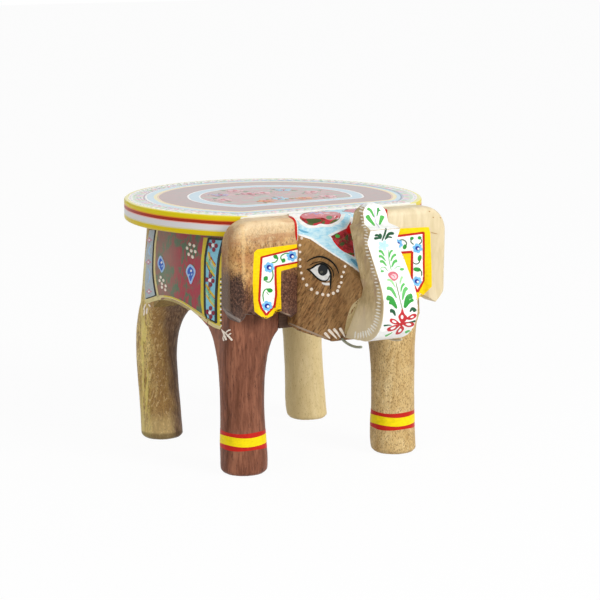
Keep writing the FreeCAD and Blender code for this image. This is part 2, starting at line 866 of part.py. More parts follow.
def check_document():
    """Stops if any object failed, or a piece's shape is missing or faulty."""
    failed = [o.Name for o in doc.Objects if {"Invalid", "Error"} & set(o.State)]
    if failed:
        raise RuntimeError(f"these objects failed: {failed}")
    for obj in PIECES:
        shape = obj.Shape
        if shape.isNull() or not shape.isValid() or not shape.Solids:
            raise RuntimeError(f"{obj.Label} has no valid solid")


def write_parts():
    os.makedirs("parts", exist_ok=True)
    for obj in PIECES:
        obj.Shape.exportStep(f"parts/{obj.Label}.step")
        bounds = obj.Shape.BoundBox
        print(obj.Label, len(obj.Shape.Solids), round(obj.Shape.Volume / 1000, 2), "cm3",
              [round(v, 1) for v in (bounds.XMin, bounds.XMax, bounds.YMin, bounds.YMax,
                                     bounds.ZMin, bounds.ZMax)])


main()
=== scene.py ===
import math
import random

import bmesh
import bpy
from mathutils import Matrix, Vector, noise
from mathutils.bvhtree import BVHTree


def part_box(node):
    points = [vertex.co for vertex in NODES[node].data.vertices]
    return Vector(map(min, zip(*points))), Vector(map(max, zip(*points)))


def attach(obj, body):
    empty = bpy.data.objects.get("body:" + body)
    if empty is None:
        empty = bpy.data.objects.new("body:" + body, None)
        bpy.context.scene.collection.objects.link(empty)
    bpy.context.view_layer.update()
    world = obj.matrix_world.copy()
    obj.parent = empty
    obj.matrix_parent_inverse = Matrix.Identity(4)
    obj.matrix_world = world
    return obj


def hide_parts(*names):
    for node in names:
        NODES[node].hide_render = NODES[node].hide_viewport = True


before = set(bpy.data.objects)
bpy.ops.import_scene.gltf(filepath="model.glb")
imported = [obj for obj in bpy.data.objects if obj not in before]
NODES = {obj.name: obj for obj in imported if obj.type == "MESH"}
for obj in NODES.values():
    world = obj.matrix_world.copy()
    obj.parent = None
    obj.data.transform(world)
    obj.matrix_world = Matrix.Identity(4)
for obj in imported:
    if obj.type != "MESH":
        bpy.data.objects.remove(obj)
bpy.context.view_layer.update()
MM = 0.001
UP = Vector((0, 0, 1))


# camera, as fitted to the photograph, in millimetres and pixels of the 600 x 600 image

CAMERA_AZIMUTH = math.radians(-30.332)
CAMERA_ELEVATION = math.radians(10.098)
CAMERA_DISTANCE = 2372.4
CAMERA_TARGET = (80.7, 128.6, 125.0)
FOCAL_PIXELS = 2253.09
IMAGE_SIZE = 600
SENSOR_WIDTH = 36
CLIP_END = 20


def link(obj):
    bpy.context.scene.collection.objects.link(obj)
    return obj


def camera_axes():
    """Right, up and back directions of the camera."""
    sa, ca = math.sin(CAMERA_AZIMUTH), math.cos(CAMERA_AZIMUTH)
    se, ce = math.sin(CAMERA_ELEVATION), math.cos(CAMERA_ELEVATION)
    return Vector((ca, sa, 0)), Vector((-se * sa, se * ca, ce)), Vector((sa * ce, -ca * ce, se))


RIGHT, CAMERA_UP, BACK = camera_axes()
EYE = Vector(CAMERA_TARGET) * MM + BACK * CAMERA_DISTANCE * MM


def pixel_ray(x, y):
    half = IMAGE_SIZE / 2
    return (RIGHT * (x - half) + CAMERA_UP * (half - y) - BACK * FOCAL_PIXELS).normalized()


def add_camera():
    data = bpy.data.cameras.new("camera")
    data.sensor_width = SENSOR_WIDTH
    data.lens = FOCAL_PIXELS * data.sensor_width / IMAGE_SIZE
    data.clip_end = CLIP_END
    camera = link(bpy.data.objects.new("camera", data))
    rotation = Matrix((RIGHT, CAMERA_UP, BACK)).transposed().to_4x4()
    camera.matrix_world = Matrix.Translation(EYE) @ rotation
    bpy.context.scene.camera = camera


# material helpers

def linear(code):
    """A #rrggbb colour as linear RGBA."""
    parts = [int(code[i:i + 2], 16) / 255 for i in (1, 3, 5)]
    return tuple(p / 12.92 if p <= 0.04045 else ((p + 0.055) / 1.055) ** 2.4 for p in parts) + (1,)


def shade(code, share):
    """A darker form of a #rrggbb colour."""
    return "#" + "".join(f"{int(int(code[i:i + 2], 16) * share):02x}" for i in (1, 3, 5))


def connect(tree, value, socket):
    """Links an output, or sets a number, a vector or a #rrggbb colour."""
    if isinstance(value, bpy.types.NodeSocket):
        tree.links.new(value, socket)
    else:
        socket.default_value = linear(value) if isinstance(value, str) else value


def add_node(tree, kind, sockets=(), **settings):
    """A shader node with its settings and what goes into its sockets."""
    made = tree.nodes.new("ShaderNode" + kind)
    for key, value in settings.items():
        setattr(made, key, value)
    for key, value in dict(sockets).items():
        connect(tree, value, made.inputs[key])
    return made


class Shader:
    """A principled material with short calls for its nodes."""

    def __init__(self, name, roughness=0.45, coat=0.0, coat_roughness=0.15, specular=0.12):
        self.material = bpy.data.materials.new(name)
        self.material.use_nodes = True
        self.tree = self.material.node_tree
        self.bsdf = self.tree.nodes["Principled BSDF"]
        self.feed("Roughness", roughness)
        self.feed("Specular IOR Level", specular)
        self.feed("Coat Weight", coat)
        self.feed("Coat Roughness", coat_roughness)
        self.place = self.node("TexCoord").outputs["Object"]

    def feed(self, name, value):
        connect(self.tree, value, self.bsdf.inputs[name])

    def node(self, kind, sockets=(), **settings):
        return add_node(self.tree, kind, sockets, **settings)

    def scaled(self, scale, offset=(0, 0, 0), turn=(0, 0, 0)):
        """Object coordinates turned, then stretched, so that a grain can run aslant."""
        return self.node("Mapping", {
            "Vector": self.place, "Scale": [1 / c for c in scale], "Rotation": turn,
            "Location": [-o / c for o, c in zip(offset, scale)]}, vector_type="TEXTURE").outputs[0]

    def noise(self, vector, scale, detail, rough=0.55, distort=0.0):
        return self.node("TexNoise", {"Vector": vector, "Scale": scale, "Detail": detail,
                                      "Roughness": rough, "Distortion": distort}).outputs["Fac"]

    def grain(self, scale, detail, rough=0.55, distort=0.0, offset=(0, 0, 0), turn=(0, 0, 0)):
        """Noise in stretched object coordinates."""
        return self.noise(self.scaled(scale, offset, turn), 1.0, detail, rough, distort)

    def math(self, operation, *values):
        return self.node("Math", enumerate(values), operation=operation).outputs[0]

    def plus(self, a, b):
        return self.math("ADD", a, b)

    def minus(self, a, b):
        return self.math("SUBTRACT", a, b)

    def times(self, a, b):
        return self.math("MULTIPLY", a, b)

    def between(self, value, low, high):
        """A smooth step from 0 at low to 1 at high."""
        return self.node("MapRange", {"Value": value, "From Min": low, "From Max": high},
                         interpolation_type="SMOOTHSTEP").outputs["Result"]

    def below(self, value, low, high):
        """A smooth step from 1 at low to 0 at high."""
        return self.minus(1.0, self.between(value, low, high))

    def ramp(self, factor, stops, interpolation="LINEAR"):
        """stops are (position, #colour) pairs."""
        made = self.node("ValToRGB", {"Fac": factor})
        made.color_ramp.interpolation = interpolation
        elements = made.color_ramp.elements
        while len(elements) < len(stops):
            elements.new(0.5)
        for element, (position, code) in zip(elements, stops):
            element.position = position
            element.color = linear(code)
        return made.outputs["Color"]

    def stripes(self, distance, span_mm, stops_mm):
        """Hard-edged stripes whose edges are given in millimetres."""
        return self.ramp(self.math("DIVIDE", distance, span_mm * MM),
                         [(mm / span_mm, code) for mm, code in stops_mm], "CONSTANT")

    def mix(self, factor, a, b):
        return self.node("Mix", {"Factor": factor, 6: a, 7: b}, data_type="RGBA").outputs[2]

    def veil(self, colour, over, mask, share):
        """The colour with another one over it where mask is 1, as far as share says."""
        return self.mix(self.times(mask, share), colour, over)

    def bump(self, height, distance, strength=0.6):
        made = self.node("Bump", {"Strength": strength, "Distance": distance, "Height": height})
        self.feed("Normal", made.outputs[0])

    def xyz(self):
        return self.node("SeparateXYZ", {0: self.place}).outputs

    def base_colour(self):
        """The output that feeds the base colour so far."""
        return self.bsdf.inputs["Base Color"].links[0].from_socket


# light and floor

WORLD_STRENGTH = 0.42
LAMP_TARGET = (0, 0, 0.12)
LAMPS = {"key": ((0.8, -2.1, 1.3), 1.1, 46), "fill": ((-2.0, -0.9, 1.2), 1.4, 13)}
FLOOR_REACH, FLOOR_DROP = 9.0, 0.0004
FLOOR_GREY, FLOOR_GLOW = 0.9, 0.95


def area_light(name, place, size, power):
    data = bpy.data.lights.new(name, "AREA")
    data.shape = "SQUARE"
    data.size = size
    data.energy = power
    light = link(bpy.data.objects.new(name, data))
    light.location = place
    direction = Vector(LAMP_TARGET) - Vector(place)
    light.rotation_euler = direction.to_track_quat("-Z", "Y").to_euler()


def seen_directly(tree):
    """1 for camera, glossy and transmission rays, else 0."""
    path = add_node(tree, "LightPath").outputs
    total = path["Is Camera Ray"]
    for name in ("Is Glossy Ray", "Is Transmission Ray"):
        total = add_node(tree, "Math", {0: total, 1: path[name]}, operation="MAXIMUM").outputs[0]
    return total


def set_world(strength):
    """Plain light on the object, white to the camera and to reflections."""
    world = bpy.data.worlds.new("studio")
    bpy.context.scene.world = world
    world.use_nodes = True
    tree = world.node_tree
    background = tree.nodes["Background"].inputs
    background["Color"].default_value = (1, 1, 1, 1)
    mix = add_node(tree, "Mix", {"A": strength, "B": 1.0, "Factor": seen_directly(tree)})
    connect(tree, mix.outputs["Result"], background["Strength"])


def add_floor():
    """A wide pale floor that is almost white to the camera and keeps a faint shadow."""
    mesh = bpy.data.meshes.new("floor")
    corners = ((-1, -1), (1, -1), (1, 1), (-1, 1))
    mesh.from_pydata([(FLOOR_REACH * x, FLOOR_REACH * y, 0) for x, y in corners], [],
                     [(0, 1, 2, 3)])
    floor = link(bpy.data.objects.new("floor", mesh))
    floor.location.z = -FLOOR_DROP
    s = Shader("floor_white", 0.9, specular=0.1)
    s.feed("Base Color", (FLOOR_GREY, FLOOR_GREY, FLOOR_GREY, 1))
    mix = s.node("MixShader", {"Fac": s.times(seen_directly(s.tree), FLOOR_GLOW),
                               1: s.bsdf.outputs[0], 2: s.node("Emission").outputs[0]})
    connect(s.tree, mix.outputs[0], s.tree.nodes["Material Output"].inputs["Surface"])
    mesh.materials.append(s.material)


# woods and paints

def wood(name, tones, grain=(330, 330, 26), distort=1.2, fleck=None, roughness=0.42, coat=0.03,
         spread=0.13, turn=(0, 0, 0)):
    """Polished wood: broad figure, fine fibres and flecks (colour, scale, level), with pores."""
    s = Shader(name, roughness, coat, 0.25)
    vector = s.scaled(grain, turn=turn)
    broad = s.noise(vector, 0.22, 3, 0.5, distort)
    fibre = s.noise(vector, 1.0, 8, 0.65, distort * 0.6)
    figure = s.plus(s.times(broad, 0.5), s.times(fibre, 0.5))
    colour = s.ramp(figure, list(zip((0.5 - spread, 0.5, 0.5 + spread), tones)))
    relief = fibre
    if fleck:
        code, scale, level = fleck
        spots = s.grain(scale, 5, 0.7, 0.3, turn=turn)
        mask = s.between(spots, level - 0.07, level + 0.05)
        colour = s.veil(colour, code, mask, 0.75)
        relief = s.minus(fibre, s.times(mask, 0.5))
    s.feed("Base Color", colour)
    s.bump(relief, 0.0004)
    return s


def paint(name, code, second=None):
    """Hand-brushed enamel paint with slight streaks."""
    s = Shader(name, 0.38, 0.03, 0.2)
    streak = s.grain((220, 220, 420), 4, 0.6, 0.4)
    s.feed("Base Color", s.mix(s.between(streak, 0.35, 0.72), code, second or shade(code, 0.93)))
    s.bump(streak, 0.00012, 0.3)
    return s.material


# seat paint: rings that follow the edge, stripes round the rim, in metres unless named MM

SEAT_RADIUS = 0.1475
SEAT_CENTRE_Y = 0.044
SEAT_FRONT_Y = -0.067
SEAT_BOTTOM, SEAT_TOP = 0.230, 0.250
CHORD_WEIGHT, CORNER_ROUNDING = 1.12, 0.008
RING_CENTRE_SHIFT = (0.0022, -0.0012)
RING_SPREAD = 0.0012
MAROON_FROM, MAROON_TO, FIELD_FROM = (0.0334, 0.0337), (0.0603, 0.0606), (0.0740, 0.0744)
YELLOW_EDGE = 0.0045
RING_SPAN_MM, RIM_SPAN_MM = 150, 25
RING_STOPS_MM = [
    (0, "#fafaf4"), (21.0, "#a9d4e6"), (27.6, "#f2e08a"), (31.2, "#e0a868"),
    (33.0, "#7c3c36"), (60.5, "#fafaf6"), (62.2, "#a2cfe4"), (72.2, "#fafaf6"), (74.2, "#7c3c36"),
]
# the last stop, a painted highlight meant for the top edge, lies above the rim's 20 mm and is not
# reached
RIM_STOPS_MM = [
    (0, "#d8be0a"), (4.8, "#d6d0a4"), (6.0, "#d9d6d6"), (11.0, "#e8a89c"), (11.8, "#a42c14"),
    (14.6, "#e08c20"), (15.6, "#dcc806"), (23.8, "#fff8b4"),
]


def seat_rings(s, x, y, wobble):
    """The colours of the seat's top by the distance inward from its edge."""
    def from_edge(dx, dy, spread):
        across = s.minus(x, dx)
        off = s.minus(y, SEAT_CENTRE_Y + dy)
        square = s.plus(s.times(across, across), s.times(off, off))
        return s.minus(SEAT_RADIUS + spread, s.math("SQRT", square))

    chord = s.times(s.minus(y, SEAT_FRONT_Y), CHORD_WEIGHT)
    depth = s.math("SMOOTH_MIN", from_edge(*RING_CENTRE_SHIFT, RING_SPREAD), chord,
                   CORNER_ROUNDING)
    inward = s.plus(depth, s.times(wobble, s.between(depth, 0.0, 0.02)))
    ring = s.stripes(inward, RING_SPAN_MM, RING_STOPS_MM)
    edge = s.plus(from_edge(0.0, 0.0, 0.0), wobble)
    ring = s.mix(s.between(edge, YELLOW_EDGE, YELLOW_EDGE - 0.0004), ring, "#eadf52")
    mottle = s.grain((75, 140, 100), 5, 0.62, 0.8)
    blotch = s.grain((60, 90, 60), 4, 0.6, 0.5, (3, 1, 0))
    field = s.mix(s.between(mottle, 0.50, 0.56), "#983e3e", "#627c5a")
    field = s.mix(s.between(blotch, 0.58, 0.66), field, "#bc5456")
    ring = s.mix(s.between(inward, *FIELD_FROM), ring, field)
    maroon = s.mix(s.between(mottle, 0.4, 0.7), "#84402f", "#6a4a3a")
    in_ring = s.times(s.between(inward, *MAROON_FROM), s.below(inward, *MAROON_TO))
    return s.mix(in_ring, ring, maroon)


def seat_material():
    """Glossy rings on the top, stripes round the rim, bare wood on the underside."""
    s = Shader("seat_enamel", 0.34, 0.75, 0.12)
    x, y, z = s.xyz()
    wobble = s.times(s.minus(s.grain((22, 22, 22), 3, 0.6), 0.5), 0.0035)
    rise = s.plus(s.minus(z, SEAT_BOTTOM), s.times(wobble, 0.25))
    rim = s.stripes(rise, RIM_SPAN_MM, RIM_STOPS_MM)
    front = s.between(y, SEAT_FRONT_Y + 0.0006, SEAT_FRONT_Y + 0.0004)
    rim = s.mix(front, rim, "#e2e2d6")
    on_top = s.between(z, SEAT_TOP - 0.0008, SEAT_TOP - 0.0002)
    colour = s.mix(on_top, rim, seat_rings(s, x, y, wobble))
    under = s.below(z, SEAT_BOTTOM + 0.0002, SEAT_BOTTOM + 0.0004)
    bare = s.ramp(s.grain((300, 24, 300), 7, 0.6, 0.8), [(0.35, "#8a6844"), (0.65, "#b8946a")])
    s.feed("Base Color", s.mix(under, colour, bare))
    s.feed("Coat Weight", s.plus(0.04, s.times(on_top, 0.7)))
    s.bump(s.grain((180, 180, 600), 4, 0.6, 0.6), 0.0002, 0.4)
    return s.material


BARK_FROM_Y, BARK_BELOW_Z = (0.068, 0.072), (0.1492, 0.1496)


def flank_material():
    """Maroon ground with green dry-brushed patches, streaked up and down, and bare bark."""
    s = Shader("flank_paint", 0.42, 0.02, 0.25)
    _, y, z = s.xyz()
    streak = s.grain((420, 480, 90), 6, 0.65, 0.5)
    patches = s.grain((60, 46, 58), 4, 0.6, 0.6, (0.4, 0.9, 1.3))
    mixed = s.plus(s.times(patches, 0.68), s.times(streak, 0.32))
    colour = s.mix(s.between(mixed, 0.485, 0.56), "#a73846", "#4c7052")
    dust = s.grain((500, 520, 110), 6, 0.7, 0.3, (2, 2, 2))
    colour = s.veil(colour, "#755c52", s.between(dust, 0.48, 0.66), 0.6)
    hot = s.grain((260, 240, 90), 4, 0.6, 0.3, (5, 1, 2))
    colour = s.veil(colour, "#b53c46", s.between(hot, 0.55, 0.64), 0.8)
    colour = s.veil(colour, "#8c957f", s.between(y, 0.03, 0.08), 0.5)
    bark = s.ramp(streak, [(0.36, "#6b5530"), (0.64, "#a88c4c")])
    bare = s.times(s.between(y, *BARK_FROM_Y), s.below(z, *BARK_BELOW_Z))
    s.feed("Base Color", s.mix(bare, colour, bark))
    s.bump(streak, 0.0003)
    return s.material


def speckled_forehead(name):
    """Red ground with green and dark dabs."""
    s = Shader(name, 0.4, 0.05, 0.2)
    dabs = s.grain((150, 150, 110), 4, 0.55, 0.3)
    dark = s.grain((120, 120, 90), 4, 0.6, 0.2, (4, 2, 1))
    colour = s.mix(s.between(dark, 0.46, 0.6), "#c43c44", "#7e2a26")
    s.feed("Base Color", s.mix(s.between(dabs, 0.55, 0.6), colour, "#5a6a38"))
    s.bump(dabs, 0.0003)
    return s.material


# where the right ear's dark stain ends, across the ear from its inner to its outer edge:
# the lighter the grey, the higher above the lowest height, in metres

EAR_STAIN_LOWEST, EAR_STAIN_RISE = 0.158, 0.055
EAR_STAIN_LINE = [(0.0, "#e6e6e6"), (0.35, "#e6e6e6"), (0.5, "#a0a0a0"), (0.62, "#b2b2b2"),
                  (0.70, "#c0c0c0"), (0.77, "#c8c8c8"), (0.82, "#dedede"), (1.0, "#eaeaea")]


def ear_gold(s, height, out, across, z):
    """The upper wood of the right ear, with a stain, painted shade on its outer side and painted
    highlights towards the top and along a ridge.
    """
    # painted highlight: paler cream towards the top of the ear
    gold = s.mix(s.between(height, 0.216, 0.25), s.base_colour(), "#e6cca2")
    stain = s.grain((24, 60, 120), 5, 0.65, 0.3, (0.3, 0, 0.62))
    gold = s.veil(gold, "#b27a50", s.between(stain, 0.47, 0.63), 0.55)
    # painted shade: darker towards the ear's outer side
    gold = s.veil(gold, "#8a6238", s.between(out, 0.105, 0.1175), 0.4)
    # painted highlight along the ridge of the outer lobe
    ridge_highlight = s.times(s.between(across, 0.755, 0.79), s.between(across, 0.835, 0.80))
    return s.veil(gold, "#eccb92", s.times(ridge_highlight, s.between(z, 0.176, 0.205)), 0.35)


def ear_brown(s, out, across, z):
    """The stained lower wood of the right ear, darker on the outer lobe, with a painted highlight
    on its outer side face.
    """
    grain = s.grain((620, 620, 480), 5, 0.7, 0.4)
    brown = s.mix(s.between(across, 0.72, 0.84),
                  s.ramp(grain, [(0.38, "#3e271f"), (0.52, "#664434"), (0.66, "#996c53")]),
                  s.ramp(grain, [(0.38, "#2a1c15"), (0.52, "#48332a"), (0.66, "#7a5744")]))
    brown = s.veil(brown, "#6c5850", s.below(z, 0.150, 0.176), 0.35)
    # painted highlight: the outer side face made lighter
    return s.veil(brown, "#826c5a", s.between(out, 0.1172, 0.1182), 0.55)


def ear_dark_material():
    """Gold at the top, speckled tan, and dark brown low on the outer and inner lobes."""
    s = wood("ear_dark_wood", ("#9a6c3c", "#bd8f58", "#d8b074"), (260, 260, 120), 0.8,
             ("#54331b", (560, 560, 430), 0.56), 0.36, 0.05)
    x, _, z = s.xyz()
    out = s.math("ABSOLUTE", x)
    across = s.math("DIVIDE", s.minus(out, EAR_INNER * MM), EAR_WIDTH * MM)
    coarse = s.minus(s.grain((240, 240, 80), 4, 0.6), 0.5)
    grit = s.minus(s.grain((900, 900, 620), 3, 0.7), 0.5)
    height = s.plus(z, s.plus(s.times(coarse, 0.022), s.times(grit, 0.034)))
    level = s.plus(EAR_STAIN_LOWEST, s.times(s.ramp(across, EAR_STAIN_LINE), EAR_STAIN_RISE))
    dark = s.below(s.minus(height, level), -0.009, 0.007)
    s.feed("Base Color", s.mix(dark, ear_gold(s, height, out, across, z),
                               ear_brown(s, out, across, z)))
    return s.material


def ear_pale_material():
    return wood("ear_pale_wood", ("#cebc93", "#d9c8a3", "#e5d6b6"), (160, 160, 40), 0.6,
                ("#b08c58", (300, 300, 200), 0.74), 0.4, 0.05).material


def head_material():
    """Brown wood with short fibres that slant down towards the trunk, speckled and uneven."""
    s = wood("head_wood", ("#785130", "#9f774b", "#c09460"), (470, 430, 90), 0.7,
             ("#4a331e", (640, 560, 110), 0.55), 0.4, 0.04, 0.14, (0.6, 0.1, 0.1))
    _, y, z = s.xyz()
    drift = s.grain((46, 60, 40), 3, 0.5, 0.6)
    warm = s.veil(s.base_colour(), "#bd9868", s.between(drift, 0.5, 0.66), 0.3)
    warm = s.veil(warm, "#c39b62", s.between(z, 0.19, 0.22), 0.3)
    s.feed("Base Color", s.veil(warm, "#76542c", s.between(y, -0.116, -0.128), 0.35))
    return s.material


def trunk_material():
    """Worn pale wood, with painted light from the floor that makes it paler towards the lowest
    bend.
    """
    s = wood("trunk_wood", ("#9e885f", "#bba47a", "#d4c197"), (400, 200, 90), 1.0,
             ("#7b6748", (700, 500, 300), 0.64), 0.45, 0.03, turn=(0.2, 0, 0))
    z = s.xyz()[2]
    cloud = s.grain((60, 60, 36), 3, 0.55, 0.5, (0, 1, 2))
    worn = s.veil(s.base_colour(), "#a08474", s.between(cloud, 0.5, 0.62), 0.45)
    # painted light: paler towards the lowest bend, as lit from the floor below
    s.feed("Base Color", s.veil(worn, "#dccdaa", s.below(z, 0.150, 0.186), 0.75))
    return s.material


# where sapwood turns to heartwood on the rear right leg: a direction in x and y, and how far
OLIVE_LEG_LEAN, OLIVE_LEG_LINE = (0.87, 0.5), -0.134


def olive_leg_material():
    """Golden sapwood on the leg's outer side that turns to dark brown heartwood inward, with a
    painted highlight stripe and painted glints on the gold.
    """
    s = wood("leg_olive_wood", ("#8a6a36", "#bd9a58", "#f2da92"), (420, 420, 90), 1.2,
             ("#5e4424", (800, 800, 420), 0.55), spread=0.15)
    x, y, z = s.xyz()
    lean = s.minus(*(s.times(c, part) for c, part in zip((x, y), OLIVE_LEG_LEAN)))
    gold = s.veil(s.base_colour(), "#a67c52", s.between(lean, -0.150, -0.142), 0.45)
    # painted highlight: a broken pale stripe down the gold side
    ray = s.times(s.between(lean, -0.160, -0.155), s.between(lean, -0.146, -0.151))
    streak = s.between(s.grain((200, 200, 26), 4, 0.6, 0.6, (1, 0, 3)), 0.42, 0.56)
    gold = s.veil(gold, "#eedc80", s.times(ray, streak), 0.7)
    glint = s.grain((520, 520, 150), 3, 0.6, 0.8, turn=(0.3, 0.2, 0))
    gold = s.veil(gold, "#e8cd96", s.between(glint, 0.56, 0.64), 0.6)
    gold = s.veil(gold, "#efd99a", s.between(z, 0.034, 0.014), 0.35)
    heart = s.ramp(s.grain((500, 500, 90), 6, 0.65, 0.4),
                   [(0.34, "#564032"), (0.52, "#7d614a"), (0.68, "#a08366")])
    rough = s.times(s.minus(s.grain((160, 160, 40), 4, 0.6), 0.5), 0.016)
    drop = s.math("MAXIMUM", s.minus(0.12, z), 0.0)
    side = s.minus(s.plus(s.minus(lean, OLIVE_LEG_LINE), rough), s.times(drop, 0.08))
    colour = s.mix(s.between(side, -0.004, 0.007), gold, heart)
    s.feed("Base Color", s.veil(colour, "#4c3c22", s.between(z, 0.008, 0.005), 0.55))
    return s.material


def leg_materials():
    tan = wood("leg_tan_wood", ("#b8955c", "#cfb17a", "#e2cb98"), (330, 330, 90), 1.4,
               ("#86653a", (900, 900, 480), 0.56), spread=0.16)
    red = wood("leg_red_wood", ("#583321", "#7f4f3b", "#a06a50"), (480, 480, 60), 0.6,
               ("#3b1f19", (700, 700, 110), 0.62), spread=0.16)
    pale = wood("leg_pale_wood", ("#d2bb86", "#dcc692", "#e8d4a4"), (300, 300, 60), 0.5,
                ("#b0945e", (900, 900, 360), 0.62), spread=0.2)
    return {"leg_front_left": tan.material, "leg_front_right": red.material,
            "leg_rear_left": pale.material, "leg_rear_right": olive_leg_material()}


def dress_nodes():
    """Materials of the CAD nodes that stay."""
    core = wood("core_wood", ("#3f2e24", "#5d463a", "#7a5f4c"), (40, 24, 300), 0.8,
                ("#2e2019", (300, 120, 500), 0.66)).material
    pin = wood("dowel_wood", ("#b08c5c", "#c9a878", "#dcc094"), (200, 200, 200)).material
    by_word = {"seat_board": seat_material(), "side_rail": flank_material(), "body_core": core,
               "dowel": pin}
    for name, obj in NODES.items():
        for word, material in by_word.items():
            if word in name:
                obj.data.materials.clear()
                obj.data.materials.append(material)


# pieces cut from the CAD solids, then worked over as a carver would: what is named by EAR or
# MM is in millimetres, other lengths and places are in metres

EAR_INNER, EAR_WIDTH = 48.0, 73.0
EAR_PLEAT_CENTRES = (55.0, 81.0, 109.0)
EAR_PLEAT_HALF_WIDTH, EAR_PLEAT_DEPTH = 14.0, 3.2
EAR_PLEAT_TOP, EAR_PLEAT_FADE = 222, 45
EAR_FRONT, EAR_FRONT_FADE = 77, 10
RIGHT_EAR_SPAN_SHARE = 0.965
OUTER_LOBE_MM, LOBE_TIP_SHIFT_MM = (82, 119), 5.0
LOBE_SHIFT_TOP, LOBE_SHIFT_FADE = 0.184, 0.016
TUSK_ROOT_Y, TUSK_LENGTH = -0.1143, 0.045
RIGHT_TUSK_LIFT, LEFT_TUSK_LIFT = 0.003, 0.006
TIP_ROOT, TIP_TOP, TIP_NARROWING, TIP_LEAN = 0.246, 0.2635, 0.14, 0.003
TRUNK_SET_BACK = 0.0007
BEND_TOP, BEND_DEPTH, BEND_LIFT = 0.166, 0.032, 0.0026
LUMPS = ((55, 0.7), (170, 0.3))  # size as waves in a metre, share of the wobble


def within(value):
    """The value kept between 0 and 1."""
    return max(0.0, min(1.0, value))


def ear_pleats(place):
    """Rounds the ear's front into three convex pleats that fade out towards the top."""
    x, z = abs(place.x) / MM, place.z / MM
    fade = within((EAR_PLEAT_TOP - z) / EAR_PLEAT_FADE)
    nearest = min(abs(x - c) for c in EAR_PLEAT_CENTRES) / EAR_PLEAT_HALF_WIDTH
    dip = EAR_PLEAT_DEPTH * min(nearest, 1.0) ** 2 * fade
    front = within((-place.y / MM - EAR_FRONT) / EAR_FRONT_FADE)
    return Vector((place.x, place.y + dip * front * MM, place.z))


def right_ear_pleats(place):
    """As ear_pleats, on a narrower blank whose outer lobe ends further out."""
    moved = ear_pleats(place)
    inner = -EAR_INNER * MM
    moved.x = inner + (moved.x - inner) * RIGHT_EAR_SPAN_SHARE
    start, end = OUTER_LOBE_MM
    share = (-moved.x / MM - start) / (end - start)
    if 0 < share < 1:
        low = within((LOBE_SHIFT_TOP - place.z) / LOBE_SHIFT_FADE)
        moved.x -= LOBE_TIP_SHIFT_MM * MM * math.sin(math.pi * share) * low
    return moved


def tusk_lift(place):
    """The tusk's free end rises a little."""
    share = max(0.0, (TUSK_ROOT_Y - place.y) / TUSK_LENGTH)
    lift = RIGHT_TUSK_LIFT if place.x < 0 else LEFT_TUSK_LIFT
    return place + Vector((0, 0, lift * share))


def trunk_lean(place):
    """The raised tip narrows and leans back towards its top, and the lowest bend is flatter."""
    share = within((place.z - TIP_ROOT) / (TIP_TOP - TIP_ROOT))
    moved = Vector(place)
    moved.x *= 1 - TIP_NARROWING * share * share
    moved.y += TIP_LEAN * share + TRUNK_SET_BACK
    moved.z += BEND_LIFT * max(0.0, (BEND_TOP - place.z) / BEND_DEPTH)
    return moved


def evaluated_mesh(obj):
    graph = bpy.context.evaluated_depsgraph_get()
    return bpy.data.meshes.new_from_object(obj.evaluated_get(graph))


WELD_DISTANCE, SMOOTHING = 1e-5, 0.5


def welded_copy(mesh):
    copy = mesh.copy()
    copy.materials.clear()
    work = bmesh.new()
    work.from_mesh(copy)
    bmesh.ops.remove_doubles(work, verts=work.verts, dist=WELD_DISTANCE)
    work.to_mesh(copy)
    work.free()
    return copy


def hand_worked(place, normal, wobble):
    """A surface point moved in or out as hand tools leave it."""
    lump = sum(noise.noise(place * per_metre) * share for per_metre, share in LUMPS)
    return place + normal * lump * wobble * MM


def carved(node, voxel, smooth_steps, wobble, material, slot, sculpt=None):
    """A dense copy of a CAD node with softened arrises and hand-worked faces."""
    obj = link(bpy.data.objects.new(node + "_carved", welded_copy(NODES[node].data)))
    remesh = obj.modifiers.new("remesh", "REMESH")
    remesh.mode = "VOXEL"
    remesh.voxel_size = voxel * MM
    smooth = obj.modifiers.new("smooth", "SMOOTH")
    smooth.factor = SMOOTHING
    smooth.iterations = smooth_steps
    dense = evaluated_mesh(obj)
    obj.modifiers.clear()
    obj.data = dense
    low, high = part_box(node)
    normals = [vertex.normal.copy() for vertex in dense.vertices]
    worked = []
    for vertex, normal in zip(dense.vertices, normals):
        moved = hand_worked(vertex.co, normal, wobble)
        if sculpt:
            moved = sculpt(moved)
        worked += [min(max(c, lo), hi) for c, lo, hi in zip(moved, low, high)]
    dense.vertices.foreach_set("co", worked)
    for polygon in dense.polygons:
        polygon.use_smooth = True
    dense.materials.append(material)
    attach(obj, "root")
    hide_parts(node)
    return obj


LEG_SLOTS = {"leg_front_left": "leg_tan_wood", "leg_front_right": "leg_red_wood",
             "leg_rear_left": "leg_pale_wood", "leg_rear_right": "leg_olive_wood"}
TUSK_TONES = {"right": ("#6f7466", "#8a8f7c", "#a8ab98"),
              "left": ("#a99c80", "#bdaf91", "#d0c3a6")}


